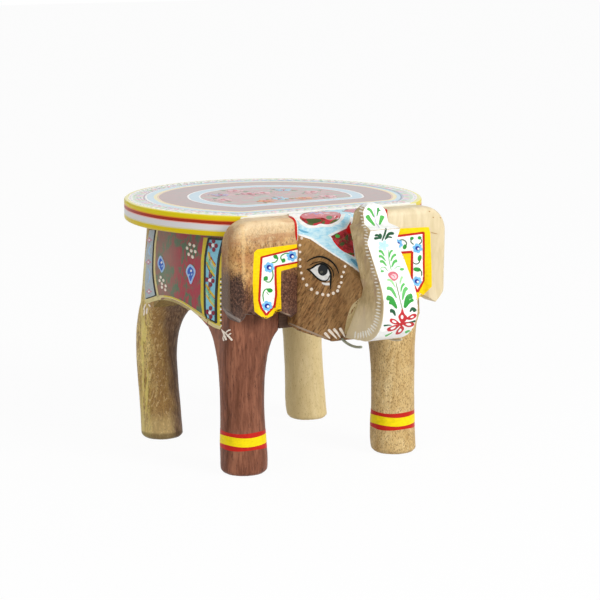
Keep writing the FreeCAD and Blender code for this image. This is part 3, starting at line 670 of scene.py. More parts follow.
def carve_pieces():
    """The dense pieces that stand for the carved solids."""
    rows = [(node, 1.2, 1, 0.4, material, LEG_SLOTS[node])
            for node, material in leg_materials().items()]
    tail = wood("tail_wood", ("#4c382b", "#6b5242", "#85694f")).material
    rows += [
        ("head", 1.2, 6, 0.35, head_material(), "head_wood"),
        ("trunk", 1.0, 3, 0.25, trunk_material(), "trunk_paint", trunk_lean),
        ("ear_left", 1.0, 2, 0.3, ear_pale_material(), "ear_pale_wood", ear_pleats),
        ("ear_right", 1.0, 2, 0.3, ear_dark_material(), "ear_dark_wood", right_ear_pleats),
        ("tail", 0.7, 3, 0.2, tail, "core_wood"),
    ]
    for side, tones in TUSK_TONES.items():
        tusk = wood("tusk_paint_" + side, tones, (300, 60, 300), coat=0.5).material
        rows.append(("tusk_" + side, 0.35, 1, 0.05, tusk, "tusk", tusk_lift))
    return {row[0]: carved(*row) for row in rows}


# painted shapes: thin closed films laid on the surface below them

LIFT_MM = 0.14
FILM_MM = 0.35
DICE = random.Random(11)
FILMS = {}  # (canvas name, colour): points, normals and faces
FIRST_DISTANCE = 2.2  # from the camera, until a ray has hit the surface


class Surface:
    """The meshes that a painted shape may lie on."""

    def __init__(self, *objects):
        points, faces = [], []
        for obj in objects:
            start = len(points)
            points += [v.co.copy() for v in obj.data.vertices]
            faces += [[start + i for i in p.vertices] for p in obj.data.polygons]
        self.tree = BVHTree.FromPolygons(points, faces)
        self.last = FIRST_DISTANCE

    def along_pixel(self, x, y):
        """The point and normal that a pixel of the photograph shows."""
        ray = pixel_ray(x, y)
        place, normal, _, distance = self.tree.ray_cast(EYE, ray)
        if place is None:
            return self.nearest(EYE + ray * self.last)
        self.last = distance
        return place, normal

    def nearest(self, place):
        return self.tree.find_nearest(place)[:2]


class Canvas:
    """Turns drawing coordinates into places on a surface, on one side of x = 0 or on both."""

    def __init__(self, name, at, side=0):
        self.name, self.at, self.side = name, at, side


def mirrored(canvas, name, surface):
    """The same drawing on the other side of the object."""
    def at(u, v):
        place, _ = canvas.at(u, v)
        return surface.nearest(Vector((-place.x, place.y, place.z)))
    return Canvas(name, at, -canvas.side)


def add_film(canvas, colour, grid_points, faces, layer, domes=None):
    """Adds faces over drawing points to the film of that colour on that canvas."""
    points, normals, faces_there = FILMS.setdefault((canvas.name, colour), ([], [], []))
    start = len(points)
    for index, (u, v) in enumerate(grid_points):
        place, normal = canvas.at(u, v)
        rise = LIFT_MM * (layer + 1) + (domes[index] if domes else 0)
        points.append(place + normal * rise * MM)
        normals.append(normal)
    for face in faces:
        ids = [start + i for i in face]
        middle_x = sum(points[i].x for i in ids) / len(ids)
        if canvas.side and middle_x * canvas.side < 0:
            continue
        a, b, c = (points[i] for i in ids[:3])
        if (b - a).cross(c - a).dot(normals[ids[0]]) < 0:
            ids.reverse()
        faces_there.append(ids)


def grid_faces(rows, columns, closed=False):
    """Faces of a grid whose points are numbered row by row, closed where it goes round."""
    width = columns if closed else columns + 1
    return [(r * width + k, r * width + (k + 1) % width, (r + 1) * width + (k + 1) % width,
             (r + 1) * width + k) for r in range(rows) for k in range(columns)]


def smooth_path(points, step, closed=False):
    """Points of an even spacing on a soft curve through the given ones."""
    count = len(points)
    if count < 3 and not closed:
        (ax, ay), (bx, by) = points
        n = max(2, round(math.hypot(bx - ax, by - ay) / step))
        return [(ax + (bx - ax) * i / n, ay + (by - ay) * i / n) for i in range(n + 1)]
    made = []
    for k in range(count if closed else count - 1):
        p = [points[(k + o) % count] if closed else points[min(max(k + o, 0), count - 1)]
             for o in (-1, 0, 1, 2)]
        n = max(2, round(math.dist(p[1], p[2]) / step))
        for t in (i / n for i in range(n)):
            made.append(tuple(
                0.5 * (2 * b + (c - a) * t + (2 * a - 5 * b + 4 * c - d) * t * t
                       + (3 * b - a - 3 * c + d) * t ** 3)
                for a, b, c, d in zip(*p)))
    if not closed:
        made.append(tuple(points[-1]))
    return made


def part_way(a, b, t):
    return a[0] + (b[0] - a[0]) * t, a[1] + (b[1] - a[1]) * t


def resampled(edge, rows):
    """rows + 1 points at even spacing along a polyline."""
    lengths = [math.dist(a, b) for a, b in zip(edge, edge[1:])]
    total = sum(lengths)
    made = []
    for row in range(rows + 1):
        want = total * row / rows
        for (a, b), span in zip(zip(edge, edge[1:]), lengths):
            if want <= span + 1e-9:
                made.append(part_way(a, b, want / span if span else 0))
                break
            want -= span
        else:
            made.append(edge[-1])
    return made


def middle(points):
    return sum(x for x, _ in points) / len(points), sum(y for _, y in points) / len(points)


def shrunk(outline, share_x, share_y):
    """An outline drawn in towards its middle."""
    cx, cy = middle(outline)
    return [(cx + (x - cx) * share_x, cy + (y - cy) * share_y) for x, y in outline]


STROKE_STEP, BLOB_STEP = 0.9, 0.8
BLUNT_END = 0.02  # share of a stroke's length by which its tapered ends miss a point


def stroke(canvases, colour, path, width, layer=1, taper=0.0, jag=0.0, straight=False):
    """A brush stroke. taper is the share of its length over which each end narrows.

    jag makes its edges uneven. Its random draws are made at 0 too, as later ones depend on them.
    """
    line = smooth_path(path, STROKE_STEP)
    if straight:
        line = [q for a, b in zip(path, path[1:]) for q in smooth_path([a, b], STROKE_STEP)]
    count = len(line)
    start, end = taper if isinstance(taper, tuple) else (taper, taper)
    points = []
    for i, (x, y) in enumerate(line):
        ax, ay = line[max(i - 1, 0)]
        bx, by = line[min(i + 1, count - 1)]
        length = math.hypot(bx - ax, by - ay) or 1
        nx, ny = -(by - ay) / length, (bx - ax) / length
        t = i / (count - 1)
        narrow = min(1, (t + BLUNT_END) / start if start else 1,
                     (1 + BLUNT_END - t) / end if end else 1)
        half = width / 2 * math.sqrt(narrow)
        left, right = (half + DICE.uniform(-jag, jag) for _ in range(2))
        points += [(x + nx * left, y + ny * left), (x, y), (x - nx * right, y - ny * right)]
    for canvas in canvases:
        add_film(canvas, colour, points, grid_faces(count - 1, 2), layer)


def line(canvases, colour, path, width):
    """A stroke with sharp corners, above the fields it parts."""
    stroke(canvases, colour, path, width, 2, straight=True)


def blob(canvases, colour, outline, layer=1, dome=0.0, rings=3):
    """A filled closed outline, flat or slightly raised at its middle."""
    edge = smooth_path(outline, BLOB_STEP, True)
    count = len(edge)
    points, heights = [middle(edge)], [dome]
    for share in (ring / rings for ring in range(1, rings + 1)):
        points += shrunk(edge, share, share)
        heights += [dome * (1 - share * share)] * count
    faces = []
    for ring in range(rings):
        outer = 1 + ring * count
        inner = outer - count
        for i in range(count):
            j = (i + 1) % count
            faces.append((inner + i, outer + i, outer + j, inner + j) if ring
                         else (0, outer + i, outer + j))
    for canvas in canvases:
        add_film(canvas, colour, points, faces, layer, heights)


def patch(canvases, colour, left, right, layer=0, across=6, step=1.2, jag=0.0):
    """A painted field between two edges that run the same way."""
    length = max(sum(math.dist(a, b) for a, b in zip(edge, edge[1:])) for edge in (left, right))
    rows = max(2, round(length / step))
    points = []
    for a, b in zip(resampled(left, rows), resampled(right, rows)):
        near, far = (DICE.uniform(-jag, jag) for _ in range(2))
        for t in (k / across for k in range(across + 1)):
            points.append(part_way(a, b, t + near * (1 - t) / 10 + far * t / 10))
    for canvas in canvases:
        add_film(canvas, colour, points, grid_faces(rows, across), layer)


def placed(shape, x, y, turn):
    """A shape moved to x, y and turned in degrees from the right-hand direction."""
    sa, ca = math.sin(math.radians(turn)), math.cos(math.radians(turn))
    return [(x + a * ca - b * sa, y + a * sa + b * ca) for a, b in shape]


OVAL_POINTS = 10


def oval(x, y, rx, ry=None, turn=0.0):
    angles = [2 * math.pi * k / OVAL_POINTS for k in range(OVAL_POINTS)]
    return placed([(rx * math.cos(a), (ry or rx) * math.sin(a)) for a in angles], x, y, turn)


LEAF_SHAPE = [(0, 0), (0.3, 0.42), (0.62, 0.5), (0.9, 0.25), (1, 0), (0.85, -0.3), (0.5, -0.45),
              (0.2, -0.25)]


def leaf(x, y, length, width, turn):
    """A pointed leaf from its stem end."""
    return placed([(a * length, b * width) for a, b in LEAF_SHAPE], x, y, turn)


def around(x, y, radius, angle):
    return x + radius * math.cos(angle), y + radius * math.sin(angle)


def flower(canvases, petal_colour, place, heart, petals=5, reach=3.0, size=1.8, layer=2,
           heart_size=1.6, dot=None, turn=0):
    x, y = place
    for k in range(petals):
        angle = math.radians(turn + 360 * k / petals)
        blob(canvases, petal_colour, oval(*around(x, y, reach, angle), size * 1.15, size,
                                          math.degrees(angle)), layer)
    blob(canvases, heart, oval(x, y, heart_size), layer + 1)
    if dot:
        blob(canvases, dot, oval(x + heart_size * 0.3, y + heart_size * 0.2, heart_size * 0.5),
             layer + 2, 0.1)


def bead(canvases, colour, place, radius, dome):
    blob(canvases, colour, oval(*place, radius, radius * 1.05), 1, dome)


def drop(canvases, colour, outline):
    """A drop with a blue heart and three small marks in it."""
    x, y = middle(outline)
    blob(canvases, colour, outline, 1)
    blob(canvases, "blue", shrunk(outline, 0.66, 0.72), 2)
    for dx, dy in ((-1.4, 1.6), (1.4, 1.0)):
        blob(canvases, colour, oval(x + dx, y + dy, 0.6, 1.2, 20), 3)
    blob(canvases, "white", oval(x + 0.8, y - 2.6, 0.8, 1.2), 3, 0.1)


def hollow_petal(canvases, colour, outline, inside):
    """A petal with a white inside that takes up the given share of it."""
    blob(canvases, colour, outline, 1)
    blob(canvases, "white", shrunk(outline, inside, inside), 2)


def each(brush, colour, shapes, *settings):
    """Rows for the same brush, colour and settings on each of several shapes."""
    return [(brush, colour, shape, *settings) for shape in shapes]


def draw(canvases, rows):
    """Draws rows of a brush, its colour, its path or outline and its further settings."""
    for brush, *settings in rows:
        brush(canvases, *settings)


def finish_films(materials):
    """One piece for each colour on each surface."""
    for (place, colour), (points, _, faces) in FILMS.items():
        used = sorted({i for face in faces for i in face})
        if not used:
            continue
        index = {old: new for new, old in enumerate(used)}
        mesh = bpy.data.meshes.new(f"paint_{place}_{colour}")
        mesh.from_pydata([points[i] for i in used], [], [[index[i] for i in f] for f in faces])
        obj = link(bpy.data.objects.new(mesh.name, mesh))
        thick = obj.modifiers.new("film", "SOLIDIFY")
        thick.thickness = FILM_MM * MM
        thick.offset = -1
        obj.data = evaluated_mesh(obj)
        obj.modifiers.clear()
        for polygon in obj.data.polygons:
            polygon.use_smooth = False
        obj.data.materials.clear()
        obj.data.materials.append(materials[colour])
        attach(obj, "root")


# painting of the right flank, in pixels of the photograph

ROSETTES_PX = [(213.4, 245.2), (210.2, 280.2), (210.4, 312.4)]
ROSETTE_PETALS = [(0.4, -4.2), (-3.0, -0.6), (3.0, 0.6), (0.6, 4.4)]
BELLY_ARCH_PX = [(145.4, 301.6), (149, 300.6), (152.6, 299.3), (158, 297.9), (164, 297.6),
                 (170, 298.5), (176, 300.5), (183, 304), (190, 308.4), (197, 313), (203, 317.2),
                 (209, 321.4), (215, 325.2), (221, 327.4)]
FLANK_PX = [
    (patch, "yellow", [(203.6, 237.6), (201, 261), (200.7, 300), (202.6, 315.5)],
     [(208.8, 237.8), (205, 261.5), (204.4, 300), (205.6, 317.5)], 0, 4),
    (patch, "aqua", [(208.8, 238.4), (205.2, 261.5), (204.9, 300), (206.4, 318)],
     [(223.5, 239.6), (218.6, 261.5), (216.2, 300), (215.8, 322.6)], 0, 8),
    (patch, "yellow", [(224.4, 240), (219.3, 261.5), (217, 300), (216.8, 323.4)],
     [(228.2, 240.5), (222.8, 261.5), (221.2, 300), (221.4, 327.4)], 0, 4),
    (stroke, "black", [(209, 238), (206.6, 250), (205.3, 261.5), (204.9, 281), (204.9, 300),
                       (205.3, 311), (206.4, 317.6)], 1.9, 2),
    (stroke, "black", [(206.2, 317.6), (211, 320.4), (216.4, 323.2)], 2.0, 2),
    (stroke, "black", [(223.9, 239), (220.8, 250), (218.7, 261.5), (217.2, 281), (216.2, 300),
                       (216.1, 311), (216.2, 323)], 2.5, 2),
    (stroke, "black", [(209, 238.6), (224, 239.6)], 2.0, 2),
    *each(blob, "crimson", [oval(x + dx, y + dy, 1.7, 2.3) for x, y in ROSETTES_PX
                            for dx, dy in ROSETTE_PETALS], 2),
    *each(blob, "white", [oval(x, y, 1.5, 1.9) for x, y in ROSETTES_PX], 3, 0.15),
    *((stroke, *stripe, 1, 0.12) for stripe in (
        ("gold", [(208.6, 251.8), (210.6, 258.5), (215.8, 267)], 2.0),
        ("red", [(209.4, 252.3), (211.6, 258.4), (216, 264.8)], 0.8),
        ("mint", [(206.6, 256.6), (208.8, 263.6), (215.2, 272.4)], 2.6),
        ("gold", [(206.8, 261.8), (209.4, 268.2), (214.8, 276.4)], 1.8),
        ("black", [(206.6, 263.6), (209.2, 270), (214.6, 278.2)], 0.6),
        ("cream_yellow", [(207.6, 254.4), (209.6, 261), (215.4, 269.6)], 0.5),
        ("gold", [(206, 284.2), (209.6, 290.6), (215.2, 297.6)], 1.9),
        ("red", [(206.4, 286), (209.8, 292), (214.8, 298.8)], 0.7),
        ("mint", [(205.6, 288.4), (210.2, 296.2), (215.2, 303.2)], 2.6),
        ("gold", [(206.2, 294.6), (210, 301), (215, 307.4)], 1.3),
        ("cream_yellow", [(205.8, 291.6), (210, 299), (215, 305.4)], 0.5),
    )),
    *((bead, "white" if k % 2 else "black", (221.0, 279.0 + k * 2.75), 0.85, 0.1)
      for k in range(18)),
    *each(blob, "cream", [oval(x, y, 1.25, 1.75, -12) for x, y in (
        (190, 244.3), (194.2, 245.8), (195.4, 251.6), (192.7, 256.9), (188.9, 254.2),
        (187.3, 248.1), (191.5, 250.8))], 1, 0.3),
    *each(blob, "cream", [oval(x, y, 1.0, 1.6, -12) for x, y in (
        (160.9, 277.2), (159.8, 280.6), (163.6, 280.3), (162.1, 283.7), (162.1, 287.2),
        (165.9, 286), (165.5, 289.8))], 1, 0.3),
    (drop, "sky", [(190.4, 264.2), (186.8, 268.4), (186.2, 272.6), (188.1, 277.2),
                   (190.8, 284.2), (193.5, 278.6), (195.5, 273.4), (194.8, 268.6)]),
    (drop, "sky", [(160.6, 255.6), (158, 261.2), (158.3, 266.2), (160.4, 270), (162, 272.6),
                   (164.7, 267.8), (164.2, 262.2)]),
    (patch, "pale_blue", [(149.4, 230.1), (145.6, 253.9), (143.6, 284.5), (144.6, 299.4)],
     [(155.4, 230.1), (153, 246.2), (152.4, 269.2), (155.2, 295.4)], 0, 6),
    (stroke, "black", [(155.6, 230.1), (153.7, 246.2), (152.9, 269.2), (153.9, 283),
                       (155.9, 295.4)], 1.1, 2),
    (stroke, "black", [(146.4, 298.6), (150.6, 297.4), (155.9, 295.4)], 1.0, 2),
    (stroke, "cream_yellow", [(157.4, 230.1), (155.3, 246.2), (154.6, 269.2), (155.8, 283),
                              (158.4, 297.4)], 1.7, 1),
    (stroke, "cream_yellow", [(146.2, 262), (144.6, 280), (145, 299)], 1.0, 1),
    *each(flower, "pink", [(149.6, 240), (148.6, 262), (149.2, 291.5)], "white", 4, 1.7, 0.9, 1,
          0.8),
    (stroke, "sky", [(150.8, 245), (149, 251), (151.2, 257)], 0.9, 1, 0.3),
    (stroke, "sky", [(148, 268), (150.2, 275), (148.2, 283)], 0.9, 1, 0.3),
    (stroke, "cream_yellow", BELLY_ARCH_PX, 4.6, 1),
    (stroke, "yellow", [(x, y - 1.7) for x, y in BELLY_ARCH_PX[4:]], 1.0, 2),
    *((stroke, "cream", path, width, 1, (0.75, 0.1)) for path, width in (
        ([(221.6, 329), (223.8, 333.6), (226.4, 340.2)], 1.9),
        ([(223, 330.6), (227.8, 335.4), (232.4, 340.4)], 1.8),
        ([(225, 333.6), (228, 330.8), (230.6, 329.8)], 1.4),
        ([(227, 336.8), (229.6, 334.2), (231.2, 333.4)], 1.3),
        ([(223.6, 335.2), (223.2, 338.6), (224.2, 341)], 1.1))),
    *each(stroke, "cream", [[(145.8, 303.8), (143.6, 309.8)], [(144.9, 309), (143.9, 315.6)],
                            [(147.4, 307.6), (146.5, 314.2)], [(148.5, 303.9), (150.6, 306.8)]],
          1.3, 1, 0.3),
]


# painting of the ears

RIGHT_EAR_PX = [
    (patch, "bright_yellow",
     [(297, 244), (269.6, 247.6), (257.1, 249.4), (254, 252.6), (253.1, 267.5), (252.7, 285.4),
      (253.4, 300.5), (254.5, 311.6), (264.6, 319.2)],
     [(297, 249), (263.4, 256.2), (261.4, 258.8), (260.6, 262), (260.2, 276.4), (259.4, 290),
      (258.8, 300.5), (260.6, 307.5), (266, 315.2)], 0, 4, 1.0),
    (patch, "bright_yellow",
     [(297.3, 262.6), (277.7, 266.8), (275.9, 269.3), (275.6, 280), (275.9, 294.3),
      (274.8, 304.1), (266, 315.4)],
     [(297, 266.8), (281.2, 271), (281, 275), (281, 284), (280.8, 294), (281.3, 303.2),
      (281.2, 310.6)], 0, 4, 1.0),
    (blob, "bright_yellow", [(264.6, 319.2), (262, 316), (266, 314.6), (274, 308), (281.2, 309.8),
                             (273, 315.2)], 0),
    (patch, "white",
     [(297.5, 248.8), (280, 253), (262, 257.4), (260.8, 276.4), (259.6, 300), (262, 307.8),
      (266.2, 313.8)],
     [(297.5, 262), (285, 264.4), (274.8, 266.2), (275, 280), (275.5, 294), (274.2, 304.8),
      (266.8, 314)], 1, 8, 1.0),
    (line, "red", [(297.5, 248.6), (277.7, 253.2), (261.4, 257.2)], 1.8),
    (line, "red", [(261.4, 256.8), (260.3, 276.4), (259.2, 300.5), (261.2, 308), (266.2, 315)],
     2.1),
    (line, "red", [(297.5, 262.2), (275.2, 266.6)], 1.8),
    (line, "red", [(275.2, 266.2), (275.4, 280), (275.9, 294.3), (274.4, 305.2), (266.2, 315)],
     2.1),
    *each(flower, "sky_blue", [(268.9, 267.3), (291.6, 256.1), (267, 305.9)], "navy", 6, 3.0, 2.1,
          2, 2.5, "white", 15),
    *each(stroke, "green", [
        [(276.2, 255.6), (277.6, 258.6), (275.2, 262), (271.4, 262.6)],
        [(282.2, 261.6), (280.6, 257), (284.4, 253.6), (289.6, 253.2)],
        [(272, 269.6), (272.8, 276), (269.6, 281.8), (265, 281.2)],
        [(269.8, 288.6), (265, 289.6), (262.8, 294.6), (263.6, 301.6)]], 1.1, 2, 0.15),
    *each(blob, "green", [
        leaf(277.4, 258.6, 5.2, 4.4, -140), leaf(282.0, 262.6, 4.8, 4.2, -60),
        leaf(263.6, 280.6, 5.6, 4.6, -50), leaf(266.6, 289.8, 6.0, 4.8, 8)], 2),
    (stroke, "green", [(266.2, 291.8), (268.8, 295.2)], 0.7, 2, 0.3),
    # painted highlight: pale grey lines along the lower bevels of the ear's outer lobe
    (patch, "worn", [(222.6, 305.2), (226.6, 311), (233, 315.4), (240.6, 319.4)],
     [(222.8, 310.8), (227, 314.4), (233.4, 318.6), (240.8, 323.2)], 0, 3),
    (stroke, "worn", [(241.2, 323), (247.4, 318.6), (253.6, 313.8)], 1.1, 0, 0.3),
    # painted highlight along the ear's bottom bevel
    (stroke, "jaw_edge", [(278.6, 310.6), (284.6, 313.4), (290.4, 315.2)], 1.3, 0, 0.3),
]
LEFT_EAR_PX = [
    (patch, "bright_yellow",
     [(385.6, 229.2), (412, 227.8), (428.8, 227), (430.3, 233.2), (431, 255), (431.6, 270),
      (431.8, 286.6), (418.4, 300.2)],
     [(385.6, 236.4), (412, 234.4), (422.8, 233.2), (423.4, 237), (423.6, 255), (423.8, 268),
      (423.6, 281), (417.2, 292.2)], 0, 4, 1.0),
    (patch, "bright_yellow",
     [(385.6, 253.8), (400.3, 252.6), (411.6, 252), (412.2, 262), (412, 279), (417.2, 291)],
     [(385.6, 260), (399, 258.4), (404.8, 259), (405, 266), (405.2, 283), (418, 300)],
     0, 4, 1.0),
    (patch, "white",
     [(385.6, 236.6), (404, 235.2), (423.2, 233.6), (423.8, 246), (423.8, 264), (423.4, 280),
      (417.6, 291.6)],
     [(385.6, 253.6), (400.6, 252.4), (412.4, 251.6), (412.2, 262), (411.8, 272), (411.6, 281),
      (417, 291.8)], 1, 8, 1.0),
    (line, "red", [(385.6, 237.2), (404, 235.2), (423.6, 232.6)], 2.2),
    (line, "red", [(423.4, 232.2), (423.5, 246), (423.6, 264), (423.6, 280.4), (417.2, 292)],
     2.2),
    (line, "red", [(385.6, 254), (400.4, 252.6), (412.2, 251.8)], 2.4),
    (line, "red", [(412, 251.6), (411.8, 262), (411.8, 274), (411.6, 281.6), (417.2, 292)], 2.3),
    *each(flower, "sky_blue", [(397.6, 244), (417.3, 248.2), (416.6, 281.2)], "navy", 6, 2.8, 2.0,
          2, 2.2, "white", 15),
    *each(stroke, "dark_green", [
        [(397.8, 240.6), (403, 239.8), (406.4, 243), (405, 247.4)],
        [(411.2, 239), (410.8, 242), (413.6, 244.6)],
        [(420.6, 238.6), (421.4, 241.6), (418.6, 244.4)],
        [(420.2, 258.6), (418.6, 262.8), (415.4, 264), (412.8, 262.2)],
        [(417.6, 269.4), (421, 271.2), (421.4, 276)]], 1.0, 2, 0.15),
    *each(blob, "green", [
        oval(404.6, 246.8, 1.9, 2.6, 20), oval(411.6, 238.4, 2.0, 1.6, -30),
        oval(419.4, 237.8, 1.9, 1.7), oval(419.4, 258.0, 1.9, 3.2, 15),
        oval(416.9, 269.4, 3.8, 2.2, 8)], 2),
    (stroke, "crease", [(430.6, 232), (434, 233.2), (437.4, 233.8)], 0.6, 1, 0.3),
    *each(blob, "crease", [oval(x, y, 0.8, 0.5, 30) for x, y in (
        (433.2, 217.4), (440.4, 217.8), (429.4, 211.4))], 0),
]
EAR_SEAM_PX = [
    (stroke, "white", [(290.5, 215.4), (296, 218.6), (298.2, 224), (298.6, 233), (298.4, 240.4)],
     2.6, 1),
    (stroke, "red", [(288.4, 216.4), (293.4, 219.2), (295.4, 224), (296, 232), (296.6, 240.4)],
     1.9, 2, (0.2, 0.2)),
]


# painting of the forehead and the right cheek

LARGE_BEADS_BELOW_PX = 284
FACE_PX = [
    (patch, "white", [(288, 213.2), (320, 210.6), (338, 209), (354, 208.6)],
     [(298.6, 235.4), (310.8, 239.4), (322, 247.2), (331.2, 253.4), (344.6, 261.8),
      (359.4, 272.2)], 0, 44, 0.8, 0.06),
    (patch, "light_blue",
     [(296.4, 219.4), (301.6, 224.8), (306.6, 228.2), (313.2, 228.4), (321.4, 227.4),
      (331.2, 227), (338.4, 224), (343.2, 219.4), (346, 213.4)],
     [(298, 233.6), (304.6, 234.9), (311.4, 237), (319, 240.6), (329.4, 234.4), (337.6, 230.6),
      (344.4, 227.8), (348.4, 222.6), (351, 216.4)], 1, 14, 0.9),
    (patch, "light_blue",
     [(311, 230.8), (322, 231.6), (329.2, 236.6), (337.6, 245.8), (346, 253.4), (353.4, 258),
      (357.6, 260.6)],
     [(306.4, 235.6), (313.4, 238.4), (321.6, 244.8), (330.6, 251.2), (341.6, 258.4),
      (351.4, 264.6), (358.2, 269.4)], 1, 8, 1.2),
    (stroke, "deep_sky", [(350.6, 258.8), (354.4, 262.4), (357.4, 266.6)], 3.0, 2, 0.4),
    (stroke, "deep_sky", [(298.6, 229.6), (303.6, 231.8), (308.6, 232.6)], 2.0, 2, 0.4),
    (blob, "speckled",
     [(299.8, 217.6), (303.6, 213.6), (312, 212.4), (324, 211.9), (336.4, 212), (340.8, 214.6),
      (338.2, 220), (331.8, 223.6), (326.4, 224.4), (320.4, 223.8), (314.8, 225.6),
      (308.4, 224.6), (303.2, 221.4)], 1, 0, 5),
    (blob, "mauve_red",
     [(301.4, 215.4), (312, 212.6), (326, 212.1), (336.2, 212.4), (340.2, 215), (337, 218.8),
      (330, 220.4), (322, 217.8), (312, 218.8), (304, 218.4)], 2),
    (stroke, "blush", [(305, 215), (314, 214.8), (326, 214.4), (336.4, 215)], 2.6, 2, 0.3),
    (blob, "moss", [(306.4, 219.6), (312, 218.6), (320.2, 219.2), (321.4, 221.4), (315, 223.4),
                    (309.6, 223.2)], 2),
    (blob, "sage", [(326.4, 216.8), (329.6, 216), (332.4, 217.2), (330.8, 219.4),
                    (327.2, 219.2)], 3),
    (stroke, "lilac", [(309, 214.6), (313, 212.8), (316.4, 214.6), (320, 213), (323.4, 214.2)],
     0.9, 3, 0.2),
    (patch, "speckled", [(331, 236.4), (338.8, 232.2), (346.2, 228.6), (350.4, 221.6)],
     [(332, 238.2), (338.4, 246.6), (345.6, 252.6), (354.4, 256.8)], 1, 6, 1.2),
    (blob, "bright_red", [(346.2, 229.8), (348.2, 225.4), (352, 224), (352.6, 229),
                          (350.8, 233.4), (347.8, 233)], 2),
    (stroke, "bright_red", [(332.6, 239.4), (338.6, 246.8), (345.2, 252.4)], 1.3, 2, 0.3),
    (blob, "grass", oval(337.6, 236.4, 2.3, 1.7, 10), 2),
    (blob, "moss", oval(342.2, 244.2, 2.4, 1.8, -20), 2),
    (blob, "moss", oval(346.6, 237.2, 1.5, 3.2, 10), 2),
    # painted highlight along the lower bevel of the jaw
    (stroke, "jaw_edge", [(288.8, 323), (301, 328.2), (314, 333.4), (326.6, 338.4)], 1.8, 0, 0.3),
    (blob, "bare_wood",
     [(362.4, 297.4), (356.6, 301), (351.8, 305.6), (348.4, 313.6), (346.4, 321), (345.2, 327.6),
      (344.6, 333.4), (348.4, 333), (352, 326), (358.6, 311)], 0),
    (blob, "eye_white",
     [(310.8, 270), (314.6, 267), (320, 265), (325.6, 266.6), (329.2, 271.4), (330.4, 277.6),
      (328.2, 281), (323, 280.4), (315.8, 276)], 1, 0, 4),
    (blob, "iris", oval(323.0, 270.0, 4.9, 5.7), 2, 0.1),
    # painted highlight: a small grey spot on the iris
    (blob, "iris_grey", oval(321.8, 272.0, 1.7, 1.3, -20), 3),
    (stroke, "black",
     [(306.8, 269.3), (310.6, 268.6), (313.6, 267), (316.6, 265), (321.2, 263.7), (325.6, 265),
      (329, 268.8), (330.8, 273.4), (331, 278.4), (330.8, 283.4), (330.4, 289)],
     1.7, 3, (0.12, 0.2)),
    (stroke, "black",
     [(307, 269.2), (311, 271.6), (315.6, 276.4), (320.6, 280.2), (325.4, 281), (328.4, 279.2),
      (329.8, 275.6)], 1.4, 3, (0.15, 0.3)),
    (stroke, "black",
     [(309.7, 265.6), (313.8, 263.1), (320.4, 261.8), (326.4, 263.8), (331.4, 268),
      (333.6, 273.2), (333.4, 278)], 0.9, 3, 0.3),
    (stroke, "black",
     [(307, 261.6), (312.8, 258.2), (319.7, 256.6), (326.4, 258.2), (332.4, 262.3),
      (336.5, 267.3), (339, 273.6)], 1.6, 2, (0.3, 0.4)),
    (blob, "eye_white", [(322, 282.4), (325.4, 282.8), (329.6, 282.8), (330, 285), (326, 285.2),
                         (322.8, 284)], 2),
    *((bead, "cream", (x, y), 1.55 if y > LARGE_BEADS_BELOW_PX else 1.3, 0.4) for x, y in (
        (301.7, 238.2), (300.1, 245.1), (300.1, 252), (300.1, 259.5), (300.3, 266.4),
        (301.4, 272.9), (303.1, 278.8), (306.8, 285), (311.6, 289.2), (317.3, 292.9),
        (322.9, 294.4), (328.3, 295.1), (333.5, 293.2), (337.7, 290.7), (339.1, 286.7),
        (341.4, 282.5), (341.8, 276.6), (343.7, 272.1), (345.2, 266.4))),
    *each(stroke, "cream", [[(324.6, 332.6), (327.2, 335.4), (330.2, 338.6)],
                            [(328.4, 329.4), (332.4, 333.6), (336.8, 338.6)],
                            [(333.6, 328.6), (337.2, 332.8), (340.2, 337.6)],
                            [(339.8, 328), (342.4, 332.2), (344.8, 337)]], 2.6, 1, (0.06, 0.7)),
]
# the strip between the two painted sides, most of it behind the trunk, seen from above in mm
FOREHEAD_TOP_MM = [
    (patch, "white", [(-47, -67.6), (-47, -71)], [(47, -67.6), (47, -71)], 0, 60, 0.9),
    (patch, "white", [(-15, -68.2), (-15, -104)], [(15, -68.2), (15, -104)], 0, 32, 0.9),
    (patch, "light_blue", [(-12, -71), (-12, -98)], [(12, -71), (12, -98)], 1, 30, 0.9),
]


# painting of the trunk

TRUNK_FRONT_MM = [  # reach, height and half width down to the neck
    (68.5, 264.4, 11.2), (73.5, 265.0, 11.6), (79.4, 263.4, 12.4), (81, 256, 13.0),
    (82.0, 247.6, 13.0), (88, 245.6, 13.6), (97.4, 243.0, 16.0), (95, 237, 16.0),
    (92.2, 231.4, 16.0),
]
TRUNK_ROOT_MM = 67
BULGE_MM = (86.9, 174.0, 37.6)  # reach and height of its middle, radius
BULGE_TOP_DEGREES, BULGE_END_DEGREES = 36, -78
BULGE_HALF_WIDTH, NECK_NARROWING, NECK_HEIGHT = 18.4, 2.4, 57  # mm over mm of height
NECK_STEPS, BULGE_STEPS = 6, 24
GROUND_ROWS, GROUND_COLUMNS = 150, 14
GROUND_START, GROUND_SPAN = -1, 2.06


def trunk_front_points():
    """Reach, height and half width of the trunk's front face, from the tip down, in mm."""
    reach, height, radius = BULGE_MM
    neck = TRUNK_FRONT_MM[-1][:2]
    made = list(TRUNK_FRONT_MM)

    def add(along, z):
        narrower = NECK_NARROWING * max(z - height, 0) / NECK_HEIGHT
        made.append((along, z, BULGE_HALF_WIDTH - narrower))

    turn = BULGE_END_DEGREES - BULGE_TOP_DEGREES
    start = around(reach, height, radius, math.radians(BULGE_TOP_DEGREES))
    for k in range(1, NECK_STEPS + 1):
        add(*part_way(neck, start, k / NECK_STEPS))
    for k in range(1, BULGE_STEPS + 1):
        angle = math.radians(BULGE_TOP_DEGREES + turn * k / BULGE_STEPS)
        add(*around(reach, height, radius, angle))
    return made


